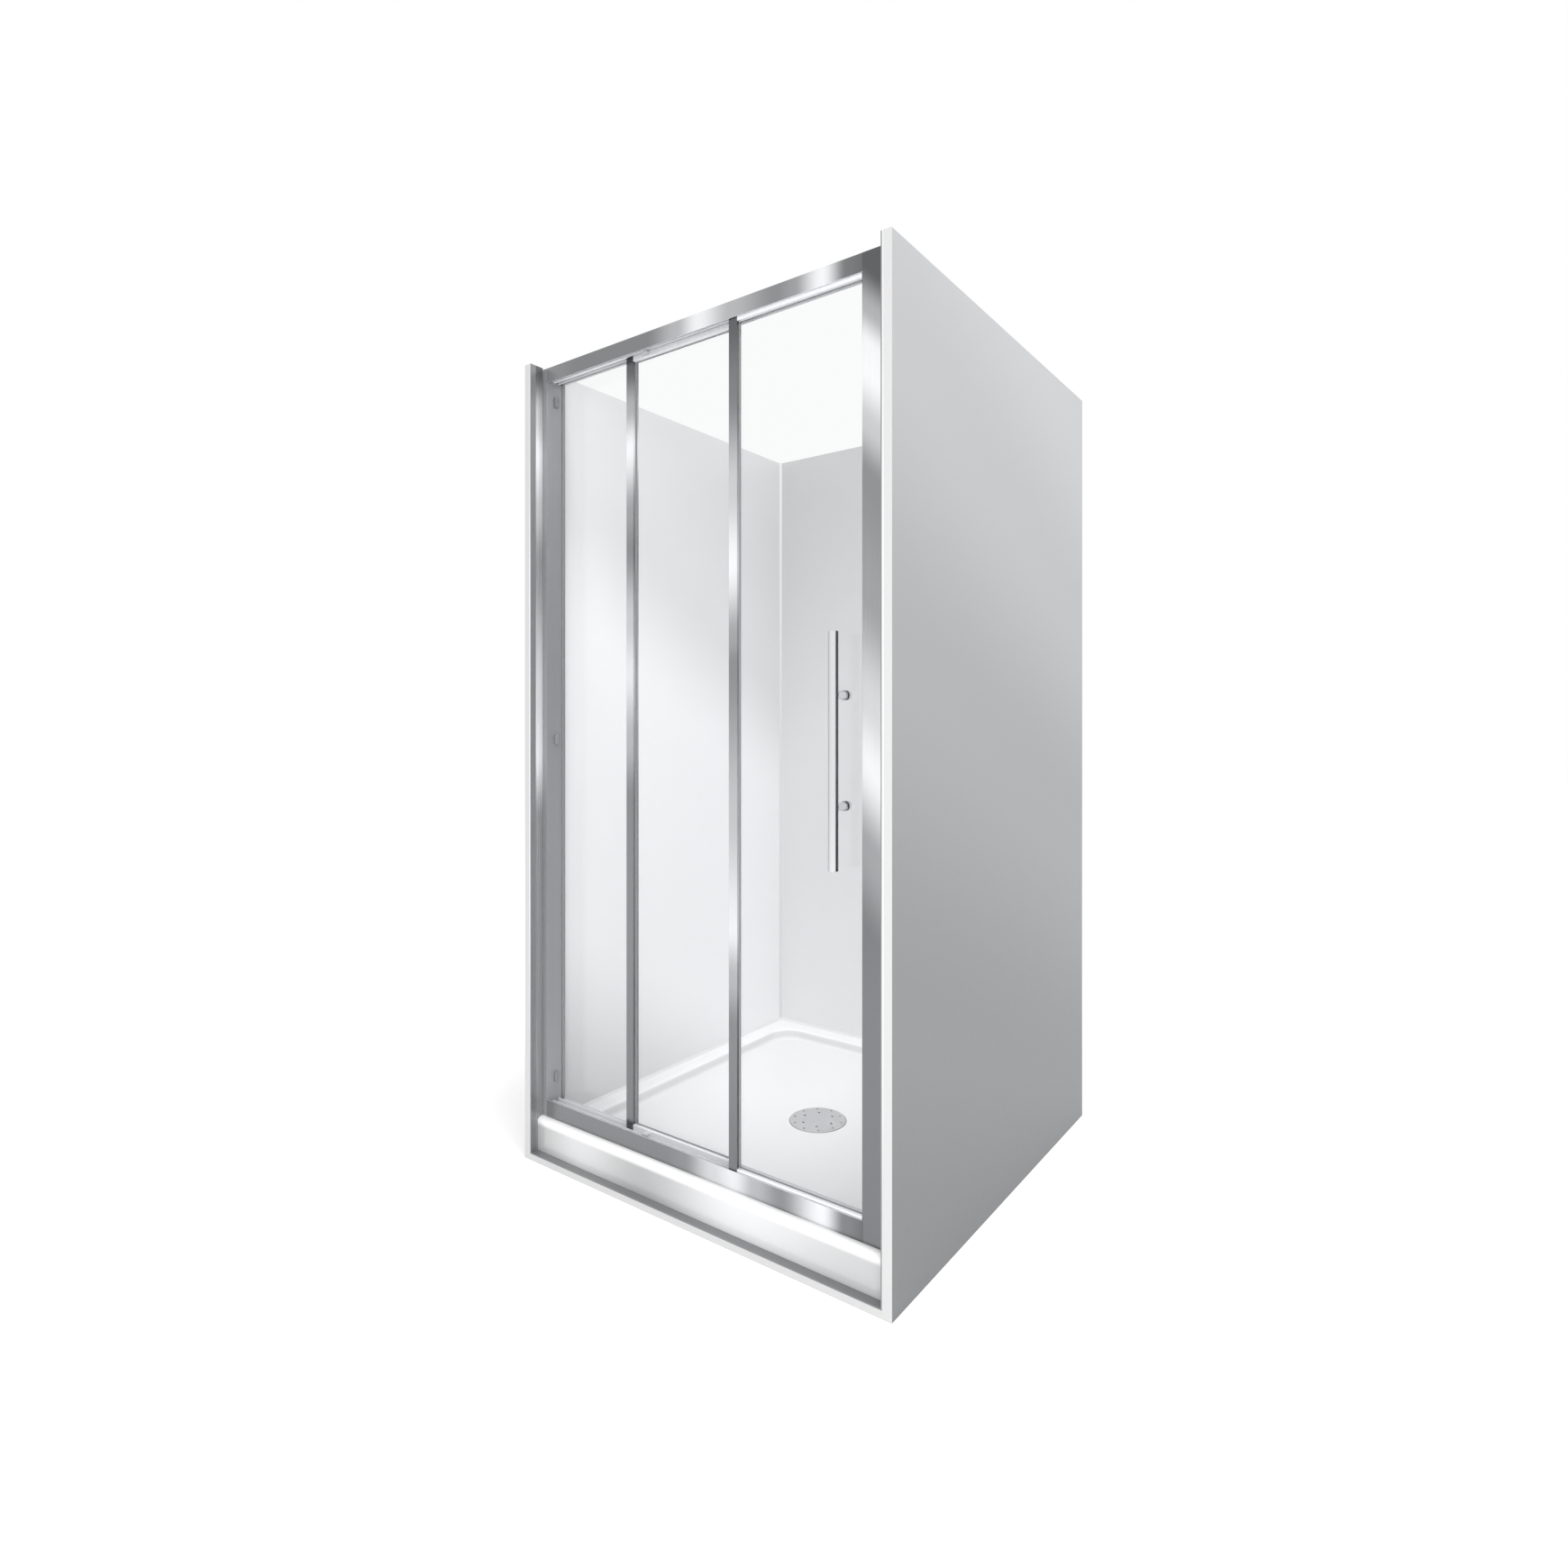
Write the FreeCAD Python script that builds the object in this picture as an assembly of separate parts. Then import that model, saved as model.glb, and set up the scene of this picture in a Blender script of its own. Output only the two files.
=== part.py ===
import FreeCAD, Part

import math
import os

from FreeCAD import Vector

# Three-sided alcove shower with a three-panel sliding door.
#
# Frame: X to the right as seen from the door, Y towards the back wall, Z up.  The origin is on
# the floor, below the middle of the outer box.  Two helper directions are used below:
#   "across" is the distance from the outer face of the right wall, towards the left wall;
#   "deep"   is the distance from the front edges of the walls, towards the back wall.

# ---------------------------------------------------------------- driving dimensions, mm
WIDTH = 1000.0
DEPTH = 1000.0
HEIGHT = 1880.0
BOARD = 17.0
LINER = 3.0
BASE = 15.0
JOINT_GAP = 0.5

TRIM = 2.5

TRAY_FRONT = 20.0
TRAY_SHELL = 5.0
THRESHOLD_TOP = 95.0
THRESHOLD_BACK = 100.0
LEDGE_TOP = 70.0
LEDGE_WIDE = 55.0
LIP_RADIUS = 12.0
LIP_BACK_RADIUS = 7.2
RIM_RADIUS = 7.0
TOE_RADIUS = 14.0
BASIN_FRONT = 110.0
BASIN_CORNER = 60.0
BASIN_DRAFT = 12.0
FLOOR_EDGE = 46.0
FLOOR_WASTE = 39.0

WASTE_CUTOUT_R = 65.0
WASTE_SEAT = 33.0
WASTE_BORE_R = 20.0
WASTE_TAIL_R = 24.0
WASTE_COVER_R = 70.0
WASTE_FLANGE_R = 67.5
WASTE_HOLE_R = 58.0
WASTE_PAD_R = 79.0

FRAME_FRONT = 35.0
FRAME_DEEP = 55.0
FRAME_TOP = 1876.0
HEADER_TALL = 34.0
SILL_TALL = 39.0
WEB = 1.8
PLATE = 2.0
LEFT_JAMB_WIDE = 14.0
RIGHT_JAMB_WIDE = 34.0
RIGHT_JAMB_LAP = 24.0

TRACK_PITCH = 17.0
STILE_WIDE = 22.0
STILE_STEP = 14.0  # how far left of the upright in front the next one stands
CLOSING_STILE_WIDE = 26.0
STILE_FRONT = 3.5
STILE_BACK = 16.5
PANEL_BOTTOM = 116.0
PANEL_TOP = 1846.0
TOP_RAIL_TALL = 12.0
BOTTOM_RAIL_TALL = 23.0
PROFILE_WALL = 1.5
GLASS = 5.0
GLASS_FRONT = 10.0
GASKET = 0.5
SLOT_DEEP = 9.0
SLOT_END_GAP = 1.0
PROFILE_EDGE = 0.8

LEADING_RIGHT = 58.0
LEADING_LEFT = 399.0
MIDDLE_LEFT = 713.0
FIXED_GLASS_LEFT = 970.0
DOOR_TRAVEL = 240.0

WHEEL_R = 10.0
WHEEL_WIDE = 4.4
AXLE_R = 3.0
RUNNING_GAP = 0.05
CARRIAGE_LONG = 32.0
CARRIAGE_INSET = 24.0
CARRIAGE_SCREW_SHIFTS = (-11.0, 11.0)
CARRIAGE_SCREW_DEEP = 13.6
LEDGE_UNDER = 1847.5
LEDGE_DEEP = 7.5

HOOK_DEEP = 3.0
HOOK_WIDE = 3.0
HOOK_BOTTOM = 145.0
HOOK_TOP = 1828.0
HOOK_ROOT = 1.0
HOOK_GAP = 0.5

HANDLE_ACROSS = 127.5
HANDLE_DEEP = 10.0
HANDLE_Z = 979.0
HANDLE_LONG = 434.0
HANDLE_R = 9.5
HANDLE_WALL = 1.5
POST_SPACING = 204.0
POST_R = 8.0
CAP_R = 9.5
CAP_DEEP = 8.5

# ---------------------------------------------------------------- derived places, mm
RIGHT = WIDTH / 2
FRONT = -DEPTH / 2
WALL_IN = BOARD + LINER
FAR_LINER = WIDTH - WALL_IN
FRAME_BACK = FRAME_FRONT + FRAME_DEEP
FRAME_BOTTOM = THRESHOLD_TOP
HEADER_BOTTOM = FRAME_TOP - HEADER_TALL
SILL_TOP = FRAME_BOTTOM + SILL_TALL
SILL_WEB_TOP = SILL_TOP - 6.0
SILL_SLOT_TOP = SILL_TOP - 14.0
HEADER_SLOT_BOTTOM = HEADER_BOTTOM + 10.0
JAMB_RIGHT_OUT = WALL_IN + TRIM
JAMB_RIGHT_IN = JAMB_RIGHT_OUT + RIGHT_JAMB_WIDE
JAMB_LEFT_OUT = WIDTH - WALL_IN - TRIM
JAMB_LEFT_IN = JAMB_LEFT_OUT - LEFT_JAMB_WIDE
LEADING_TRACK = FRAME_FRONT
MIDDLE_TRACK = FRAME_FRONT + TRACK_PITCH
FIXED_TRACK = FRAME_FRONT + 2 * TRACK_PITCH
LEDGE_TOP_Z = LEDGE_UNDER + PLATE
WHEEL_Z = LEDGE_TOP_Z + WHEEL_R
MIDDLE_RIGHT = LEADING_LEFT - STILE_WIDE + STILE_STEP
FIXED_RIGHT = MIDDLE_LEFT - STILE_WIDE + STILE_STEP
FIXED_LEFT = FIXED_RIGHT + STILE_WIDE


# ---------------------------------------------------------------- shape helpers
def block(x0, x1, y0, y1, z0, z1):
    """A box between two corners in the part's own frame."""
    return Part.makeBox(x1 - x0, y1 - y0, z1 - z0, Vector(x0, y0, z0))


def bar(across0, across1, deep0, deep1, z0, z1):
    """A box placed from the outer right face and from the front edges of the walls."""
    return block(RIGHT - across1, RIGHT - across0, FRONT + deep0, FRONT + deep1, z0, z1)


def soften(shape, direction, radius, keep=lambda middle: True):
    """Round the straight edges that run along one direction, where keep() says so."""
    chosen = []
    for edge in shape.Edges:
        if len(edge.Vertexes) != 2:
            continue
        line = edge.Vertexes[1].Point - edge.Vertexes[0].Point
        if line.cross(direction).Length < 1e-6 * line.Length and keep(edge.CenterOfMass):
            chosen.append(edge)
    return shape.makeFillet(radius, chosen)


def rod(across, deep, z, radius, length, direction):
    """A round rod from a point, along a direction."""
    start = Vector(RIGHT - across, FRONT + deep, z)
    return Part.makeCylinder(radius, length, start, direction)


def fused(shapes):
    """One solid out of touching shapes."""
    return shapes[0].multiFuse(shapes[1:]).removeSplitter()


def drilled(shape, tools):
    """The shape with every tool taken out of it."""
    return shape.cut(Part.makeCompound(tools))


def save(node, *solids):
    """Write one node: a single solid, or several separate ones in a compound."""
    shape = solids[0] if len(solids) == 1 else Part.makeCompound(list(solids))
    shape.exportStep(os.path.join("parts", node + ".step"))


UP = Vector(0, 0, 1)
BACKWARD = Vector(0, 1, 0)
RIGHTWARD = Vector(1, 0, 0)
LEFTWARD = Vector(-1, 0, 0)


# ---------------------------------------------------------------- walls and base
WALL_SCREW_HEIGHTS = (240.0, 760.0, 1280.0, 1760.0)
WALL_SCREW_DEEP = FRAME_FRONT + FRAME_DEEP / 2
WALL_SCREW_GRIP = 13.0
WALL_SCREW_HEAD_R = 4.0
WALL_SCREW_HEAD_TALL = 2.2
SCREW_R = 2.0
SCREW_HOLE_R = 2.1


def wall_screw_holes(across, direction):
    """Pilot holes for the wall channel's screws, through the liner and into the board."""
    return [rod(across, WALL_SCREW_DEEP, z, SCREW_HOLE_R, WALL_IN - 1.0, direction)
            for z in WALL_SCREW_HEIGHTS]


def make_boards():
    cutout = Part.makeCylinder(WASTE_CUTOUT_R, BASE, Vector(0, 0, 0))
    save("base_board", block(-RIGHT, RIGHT, FRONT, -FRONT, 0, BASE).cut(cutout))
    right = bar(0, BOARD, 0, DEPTH, BASE, HEIGHT)
    save("right_wall_board", drilled(right, wall_screw_holes(WALL_IN, RIGHTWARD)))
    left = bar(WIDTH - BOARD, WIDTH, 0, DEPTH, BASE, HEIGHT)
    save("left_wall_board", drilled(left, wall_screw_holes(FAR_LINER, LEFTWARD)))
    save("back_wall_board", bar(BOARD, WIDTH - BOARD, DEPTH - BOARD, DEPTH, BASE, HEIGHT))


OVER_THRESHOLD = THRESHOLD_TOP + 1.0
OVER_LEDGE = LEDGE_TOP + 1.0
PAST_THRESHOLD = THRESHOLD_BACK + 1.0


def side_liner(across0):
    """A side wall's liner, whose lower edge steps up over the tray's threshold and ledge."""
    across1 = across0 + LINER
    skirt = bar(across0, across1, 0, TRAY_FRONT - JOINT_GAP, BASE, OVER_THRESHOLD)
    front = bar(across0, across1, 0, PAST_THRESHOLD, OVER_THRESHOLD, HEIGHT)
    rear = bar(across0, across1, PAST_THRESHOLD, DEPTH - WALL_IN, OVER_LEDGE, HEIGHT)
    return fused([skirt, front, rear])


def make_liners():
    right = side_liner(BOARD)
    save("right_wall_liner", drilled(right, wall_screw_holes(WALL_IN, RIGHTWARD)))
    left = side_liner(WIDTH - WALL_IN)
    save("left_wall_liner", drilled(left, wall_screw_holes(FAR_LINER, LEFTWARD)))
    save("back_wall_liner",
         bar(BOARD, WIDTH - BOARD, DEPTH - WALL_IN, DEPTH - BOARD, OVER_LEDGE, HEIGHT))


def wedge(points, sweep):
    """A three-cornered bead: a triangle swept along a vector."""
    corners = [Vector(*point) for point in points]
    return Part.Face(Part.makePolygon(corners + corners[:1])).extrude(sweep)


def make_sealant():
    size = 6.0
    threshold_run = 5.0
    inner = RIGHT - WALL_IN
    rear = -FRONT - WALL_IN
    start = FRONT + FRAME_BACK
    step = FRONT + PAST_THRESHOLD
    beads = []
    for side in (-1, 1):
        wall = side * inner
        toe = side * (inner - size)
        beads.append(wedge([(wall, step, LEDGE_TOP), (toe, step, LEDGE_TOP),
                            (wall, step, LEDGE_TOP + size)], Vector(0, rear - step, 0)))
        beads.append(wedge([(wall, start, THRESHOLD_TOP), (toe, start, THRESHOLD_TOP),
                            (wall, start, THRESHOLD_TOP + size)],
                           Vector(0, threshold_run, 0)))
        beads.append(wedge([(wall, rear, LEDGE_TOP), (toe, rear, LEDGE_TOP),
                            (wall, rear - size, LEDGE_TOP)], Vector(0, 0, HEIGHT - LEDGE_TOP)))
    beads.append(wedge([(-inner, rear, LEDGE_TOP), (-inner, rear - size, LEDGE_TOP),
                        (-inner, rear, LEDGE_TOP + size)], Vector(2 * inner, 0, 0)))
    joined = beads[0].multiFuse(beads[1:])
    save("sealant_beads", *joined.Solids)


# ---------------------------------------------------------------- tray
def rounded_outline(half_x, y0, y1, z, radius):
    """A closed rounded rectangle at one height, centred on X."""
    k = radius * math.sqrt(0.5)
    edges = []
    corners = [(half_x, y0, 1, -1), (half_x, y1, 1, 1), (-half_x, y1, -1, 1), (-half_x, y0, -1, -1)]
    arcs = []
    for x, y, sx, sy in corners:
        cx = x - sx * radius
        cy = y - sy * radius
        on_x_side = Vector(x, cy, z)
        on_y_side = Vector(cx, y, z)
        middle = Vector(cx + sx * k, cy + sy * k, z)
        first, last = (on_y_side, on_x_side) if sx * sy < 0 else (on_x_side, on_y_side)
        arcs.append((first, middle, last))
    for index, (first, middle, last) in enumerate(arcs):
        edges.append(Part.Arc(first, middle, last).toShape())
        following = arcs[(index + 1) % len(arcs)][0]
        edges.append(Part.LineSegment(last, following).toShape())
    return Part.Wire(edges)


def basin(grow, drop):
    """The sunken floor of the tray as a solid, grown sideways and moved down."""
    half = RIGHT - BOARD - JOINT_GAP - LEDGE_WIDE + grow
    y0 = FRONT + BASIN_FRONT - grow
    y1 = -FRONT - BOARD - JOINT_GAP - LEDGE_WIDE + grow
    waste_half = WASTE_COVER_R + 6.0
    waste_corner = waste_half - 8.0
    over = 10.0
    slope = BASIN_DRAFT / (LEDGE_TOP - FLOOR_EDGE)
    wide = over * slope
    sections = [
        rounded_outline(half + wide, y0 - wide, y1 + wide, LEDGE_TOP + over - drop,
                        BASIN_CORNER + grow + wide),
        rounded_outline(half - BASIN_DRAFT, y0 + BASIN_DRAFT, y1 - BASIN_DRAFT, FLOOR_EDGE - drop,
                        BASIN_CORNER + grow - BASIN_DRAFT),
        rounded_outline(waste_half, -waste_half, waste_half, FLOOR_WASTE - drop, waste_corner),
    ]
    walls = Part.makeLoft(sections[:2], True, True)
    floor = Part.makeLoft(sections[1:], True, True)
    return walls.fuse(floor)


def level_edges(shape, height):
    """The edges that lie level at one height."""
    return [edge for edge in shape.Edges if abs(edge.BoundBox.ZMin - height) < 0.01
            and abs(edge.BoundBox.ZMax - height) < 0.01]


def make_tray():
    half = RIGHT - BOARD - JOINT_GAP
    y0 = FRONT + TRAY_FRONT
    y1 = -FRONT - BOARD - JOINT_GAP
    step = FRONT + THRESHOLD_BACK
    under = TRAY_SHELL

    threshold = block(-half, half, y0, step, BASE, THRESHOLD_TOP)
    threshold = soften(threshold, RIGHTWARD, LIP_RADIUS,
                       lambda middle: middle.z > THRESHOLD_TOP - 1 and middle.y < y0 + 1)
    threshold = soften(threshold, RIGHTWARD, LIP_BACK_RADIUS,
                       lambda middle: middle.z > THRESHOLD_TOP - 1 and middle.y > step - 1)
    ledge_front = step - 20.0
    ledge = block(-half, half, ledge_front, y1, BASE, LEDGE_TOP)
    outer = threshold.fuse(ledge)

    hollow = block(-half + under, half - under, y0 + under, step - under, BASE,
                   THRESHOLD_TOP - under)
    hollow = hollow.fuse(block(-half + under, half - under, y0 + under, y1 - under, BASE,
                               LEDGE_TOP - under))
    hollow = hollow.cut(basin(under, under))

    top = outer.cut(basin(0.0, 0.0))
    rim = [edge for edge in level_edges(top, LEDGE_TOP)
           if abs(edge.CenterOfMass.x) < half - 5 and step + 2 < edge.CenterOfMass.y < y1 - 5]
    top = top.makeFillet(RIM_RADIUS, rim)
    top = top.makeFillet(TOE_RADIUS, level_edges(top, FLOOR_EDGE))

    pad_bottom = WASTE_SEAT - TRAY_SHELL
    recess_r = WASTE_COVER_R + 1.5
    core_hole_r = WASTE_PAD_R + 3.0
    pad = Part.makeCylinder(WASTE_PAD_R, FLOOR_WASTE - pad_bottom, Vector(0, 0, pad_bottom))
    shell = top.cut(hollow).fuse(pad)
    shell = shell.cut(Part.makeCylinder(recess_r, LEDGE_TOP - WASTE_SEAT, Vector(0, 0, WASTE_SEAT)))
    shell = shell.cut(Part.makeCylinder(WASTE_HOLE_R, LEDGE_TOP - BASE, Vector(0, 0, BASE)))
    save("tray_shell", shell)

    core = hollow.cut(Part.makeCylinder(core_hole_r, THRESHOLD_TOP - BASE, Vector(0, 0, BASE)))
    save("tray_core", core)


# ---------------------------------------------------------------- waste
def ring(outer_r, inner_r, z0, z1):
    """A plain ring about the waste's axis."""
    outer = Part.makeCylinder(outer_r, z1 - z0, Vector(0, 0, z0))
    return outer.cut(Part.makeCylinder(inner_r, z1 - z0, Vector(0, 0, z0)))


def turned_copies(shape_for, count, start):
    """Copies of one tool, set evenly round the waste's axis."""
    copies = [shape_for() for _ in range(count)]
    for index, copy in enumerate(copies):
        copy.rotate(Vector(0, 0, 0), UP, start + index * 360.0 / count)
    return copies


def make_waste():
    bowl_r = 56.0
    wall = 3.0
    bowl_bottom = 18.0
    tail_bottom = 2.0
    rim_under = WASTE_SEAT + 1.0
    rim_top = rim_under + 2.0
    save("waste_body", fused([
        ring(WASTE_FLANGE_R, bowl_r - wall, rim_under, rim_top),
        ring(bowl_r, bowl_r - wall, bowl_bottom, rim_top),
        ring(bowl_r, WASTE_BORE_R, bowl_bottom, bowl_bottom + wall),
        ring(WASTE_TAIL_R, WASTE_BORE_R, tail_bottom, bowl_bottom + wall),
    ]))
    save("waste_gasket", ring(WASTE_FLANGE_R, WASTE_HOLE_R, WASTE_SEAT, rim_under))

    nut_bottom = 21.0
    nut_top = WASTE_SEAT - TRAY_SHELL
    grip = 4.0
    nut = ring(WASTE_FLANGE_R, bowl_r + 0.3, nut_bottom, nut_top)
    notches = turned_copies(lambda: block(WASTE_FLANGE_R - grip, WASTE_FLANGE_R + grip, -grip, grip,
                                          nut_bottom, nut_top), 8, 0.0)
    save("waste_nut", drilled(nut, notches))

    disc_thick = 4.0
    disc_edge = 1.5
    skirt_r = 51.5
    skirt_wall = 2.0
    skirt_deep = 9.0
    cover_top = rim_top + disc_thick
    disc = Part.makeCylinder(WASTE_COVER_R, disc_thick, Vector(0, 0, rim_top))
    disc = disc.makeFillet(disc_edge, level_edges(disc, cover_top))
    skirt = ring(skirt_r, skirt_r - skirt_wall, rim_top - skirt_deep, rim_top)
    hole_r = 3.0
    tools = []
    for count, circle_r, start in ((10, 60.0, 18.0), (6, 40.0, 0.0)):
        tools += turned_copies(lambda: Part.makeCylinder(hole_r, disc_thick + 1.0,
                                                         Vector(circle_r, 0, rim_top)), count, start)
    window_half = 9.0
    tools += turned_copies(lambda: block(45.0, 55.0, -window_half, window_half,
                                         rim_top - skirt_deep, rim_top - 3.0), 6, 30.0)
    save("waste_cover", drilled(fused([disc, skirt]), tools))


# ---------------------------------------------------------------- edge trims and wall channels
def make_edge_trims():
    low_deep = TRAY_FRONT - JOINT_GAP
    high_deep = FRAME_FRONT - JOINT_GAP
    for node, across0 in (("right_edge_trim", WALL_IN), ("left_edge_trim", FAR_LINER - TRIM)):
        low = bar(across0, across0 + TRIM, 0, low_deep, BASE + TRIM, OVER_THRESHOLD)
        high = bar(across0, across0 + TRIM, 0, high_deep, OVER_THRESHOLD, HEIGHT)
        save(node, fused([low, high]))
    save("bottom_edge_trim", bar(WALL_IN, FAR_LINER, 0, low_deep, BASE, BASE + TRIM))


CHANNEL_INSET = WEB + 0.2
CHANNEL_BOTTOM = FRAME_BOTTOM + 1.5
CHANNEL_TOP = FRAME_TOP - 3.0
RIGHT_CHANNEL_REACH = 26.0
LEFT_CHANNEL_REACH = 6.0


def wall_channel(wall_across, towards, reach):
    """A U-profile screwed to the liner; towards is +1 when it opens to the left."""
    d0 = FRAME_FRONT + CHANNEL_INSET
    d1 = FRAME_BACK - CHANNEL_INSET

    def piece(a, b, deep0, deep1):
        ends = sorted((wall_across + towards * a, wall_across + towards * b))
        return bar(ends[0], ends[1], deep0, deep1, CHANNEL_BOTTOM, CHANNEL_TOP)

    channel = fused([piece(0, PLATE, d0, d1), piece(0, reach, d0, d0 + PROFILE_WALL),
                     piece(0, reach, d1 - PROFILE_WALL, d1)])
    away = RIGHTWARD if towards > 0 else LEFTWARD
    start = wall_across + towards * (PLATE + 1)
    holes = [rod(start, WALL_SCREW_DEEP, z, SCREW_HOLE_R, PLATE + 2, away)
             for z in WALL_SCREW_HEIGHTS]
    return drilled(channel, holes)


def wall_screws(wall_across, towards):
    """Pan-head screws that hold a wall channel, heads inside the channel."""
    away = RIGHTWARD if towards > 0 else LEFTWARD
    head_under = wall_across + towards * PLATE
    head_top = head_under + towards * WALL_SCREW_HEAD_TALL
    reach = PLATE + LINER + WALL_SCREW_GRIP
    screws = []
    for z in WALL_SCREW_HEIGHTS:
        head = rod(head_top, WALL_SCREW_DEEP, z, WALL_SCREW_HEAD_R, WALL_SCREW_HEAD_TALL, away)
        shank = rod(head_under, WALL_SCREW_DEEP, z, SCREW_R, reach, away)
        screws.append(fused([head, shank]))
    return screws


def make_wall_fixings():
    save("right_wall_channel", wall_channel(WALL_IN, 1, RIGHT_CHANNEL_REACH))
    save("left_wall_channel", wall_channel(FAR_LINER, -1, LEFT_CHANNEL_REACH))
    save("wall_screws", *(wall_screws(WALL_IN, 1) + wall_screws(FAR_LINER, -1)))


# ---------------------------------------------------------------- outer frame
SLOT_FRONT = FIXED_TRACK + GLASS_FRONT - GASKET
SLOT_BACK = FIXED_TRACK + GLASS_FRONT + GLASS + GASKET
PORT_R = 1.6
BOSS = 6.4
PORT_DEEP_TOP = TRACK_PITCH - BOSS / 2
PORT_DEEP_LOW = 9.4
FRAME_PORTS_TOP = [(track + PORT_DEEP_TOP, FRAME_TOP - PLATE - BOSS / 2)
                   for track in (LEADING_TRACK, MIDDLE_TRACK)]
FRAME_PORTS_LOW = [(track + PORT_DEEP_LOW, FRAME_BOTTOM + PLATE + BOSS / 2 - 0.6)
                   for track in (LEADING_TRACK, MIDDLE_TRACK)]
PORT_LONG = 22.0
SHANK_GAP = 0.05
POCKET_WALL = 1.5
POCKET_FLOOR = FIXED_GLASS_LEFT + 1.0
POCKET_BACK = POCKET_FLOOR + POCKET_WALL


def port_rods(across, radius, length, direction):
    """One rod at every screw port, in the header and in the sill."""
    return [rod(across, deep, z, radius, length, direction)
            for deep, z in FRAME_PORTS_TOP + FRAME_PORTS_LOW]


def make_jambs():
    z0, z1 = FRAME_BOTTOM, FRAME_TOP
    right = fused([
        bar(JAMB_RIGHT_OUT, JAMB_RIGHT_IN + RIGHT_JAMB_LAP, FRAME_FRONT, FRAME_FRONT + WEB, z0, z1),
        bar(JAMB_RIGHT_IN - PLATE, JAMB_RIGHT_IN, FRAME_FRONT, FRAME_BACK, z0, z1),
        bar(JAMB_RIGHT_OUT, JAMB_RIGHT_IN, FRAME_BACK - WEB, FRAME_BACK, z0, z1),
    ])
    right_holes = port_rods(JAMB_RIGHT_IN, SCREW_HOLE_R, PLATE, RIGHTWARD)
    save("right_jamb", drilled(right, right_holes))

    left = fused([
        bar(JAMB_LEFT_IN, JAMB_LEFT_OUT, FRAME_FRONT, FRAME_FRONT + WEB, z0, z1),
        bar(JAMB_LEFT_IN, JAMB_LEFT_IN + PLATE, FRAME_FRONT, SLOT_FRONT, z0, z1),
        bar(JAMB_LEFT_IN, POCKET_BACK, SLOT_FRONT - WEB, SLOT_FRONT, z0, z1),
        bar(POCKET_FLOOR, POCKET_BACK, SLOT_FRONT, SLOT_BACK, z0, z1),
        bar(JAMB_LEFT_IN, POCKET_BACK, SLOT_BACK, SLOT_BACK + WEB, z0, z1),
        bar(JAMB_LEFT_IN, JAMB_LEFT_IN + PLATE, SLOT_BACK, FRAME_BACK, z0, z1),
        bar(JAMB_LEFT_IN, JAMB_LEFT_OUT, FRAME_BACK - WEB, FRAME_BACK, z0, z1),
    ])
    left_holes = port_rods(JAMB_LEFT_IN, SCREW_HOLE_R, PLATE, LEFTWARD)
    save("left_jamb", drilled(left, left_holes))


def make_header():
    a0, a1 = JAMB_RIGHT_IN, JAMB_LEFT_IN
    z0, z1 = HEADER_BOTTOM, FRAME_TOP
    lap_overrun = 4.0
    pieces = [
        bar(a0 + RIGHT_JAMB_LAP, a1, FRAME_FRONT, FRAME_FRONT + WEB, z0, z1),
        bar(a0, a1, FRAME_FRONT + WEB, FRAME_BACK, z1 - PLATE, z1),
        bar(a0, a1, FRAME_BACK - WEB, FRAME_BACK, HEADER_SLOT_BOTTOM, z1),
        bar(a0, a1, SLOT_FRONT - WEB, SLOT_FRONT, HEADER_SLOT_BOTTOM, z1),
        bar(a0, a1, SLOT_BACK, SLOT_BACK + WEB, HEADER_SLOT_BOTTOM, z1),
    ]
    for track in (LEADING_TRACK, MIDDLE_TRACK):
        pieces.append(bar(a0, a1, track + WEB, track + LEDGE_DEEP, LEDGE_UNDER, LEDGE_TOP_Z))
        pieces.append(bar(a0, a1, track + TRACK_PITCH, track + TRACK_PITCH + WEB, LEDGE_UNDER, z1))
    pieces.append(bar(a0, a0 + RIGHT_JAMB_LAP + lap_overrun, FRAME_FRONT + WEB,
                      FRAME_FRONT + 2 * WEB, LEDGE_UNDER, z1))
    for deep, z in FRAME_PORTS_TOP:
        pieces.append(bar(a0, a1, deep - BOSS / 2, deep + BOSS / 2, z - BOSS / 2, z1 - PLATE))
    ports = []
    for deep, z in FRAME_PORTS_TOP:
        ports.append(rod(a1, deep, z, PORT_R, PORT_LONG, RIGHTWARD))
        ports.append(rod(a0, deep, z, PORT_R, PORT_LONG, LEFTWARD))
    save("header", drilled(fused(pieces), ports))


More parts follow.
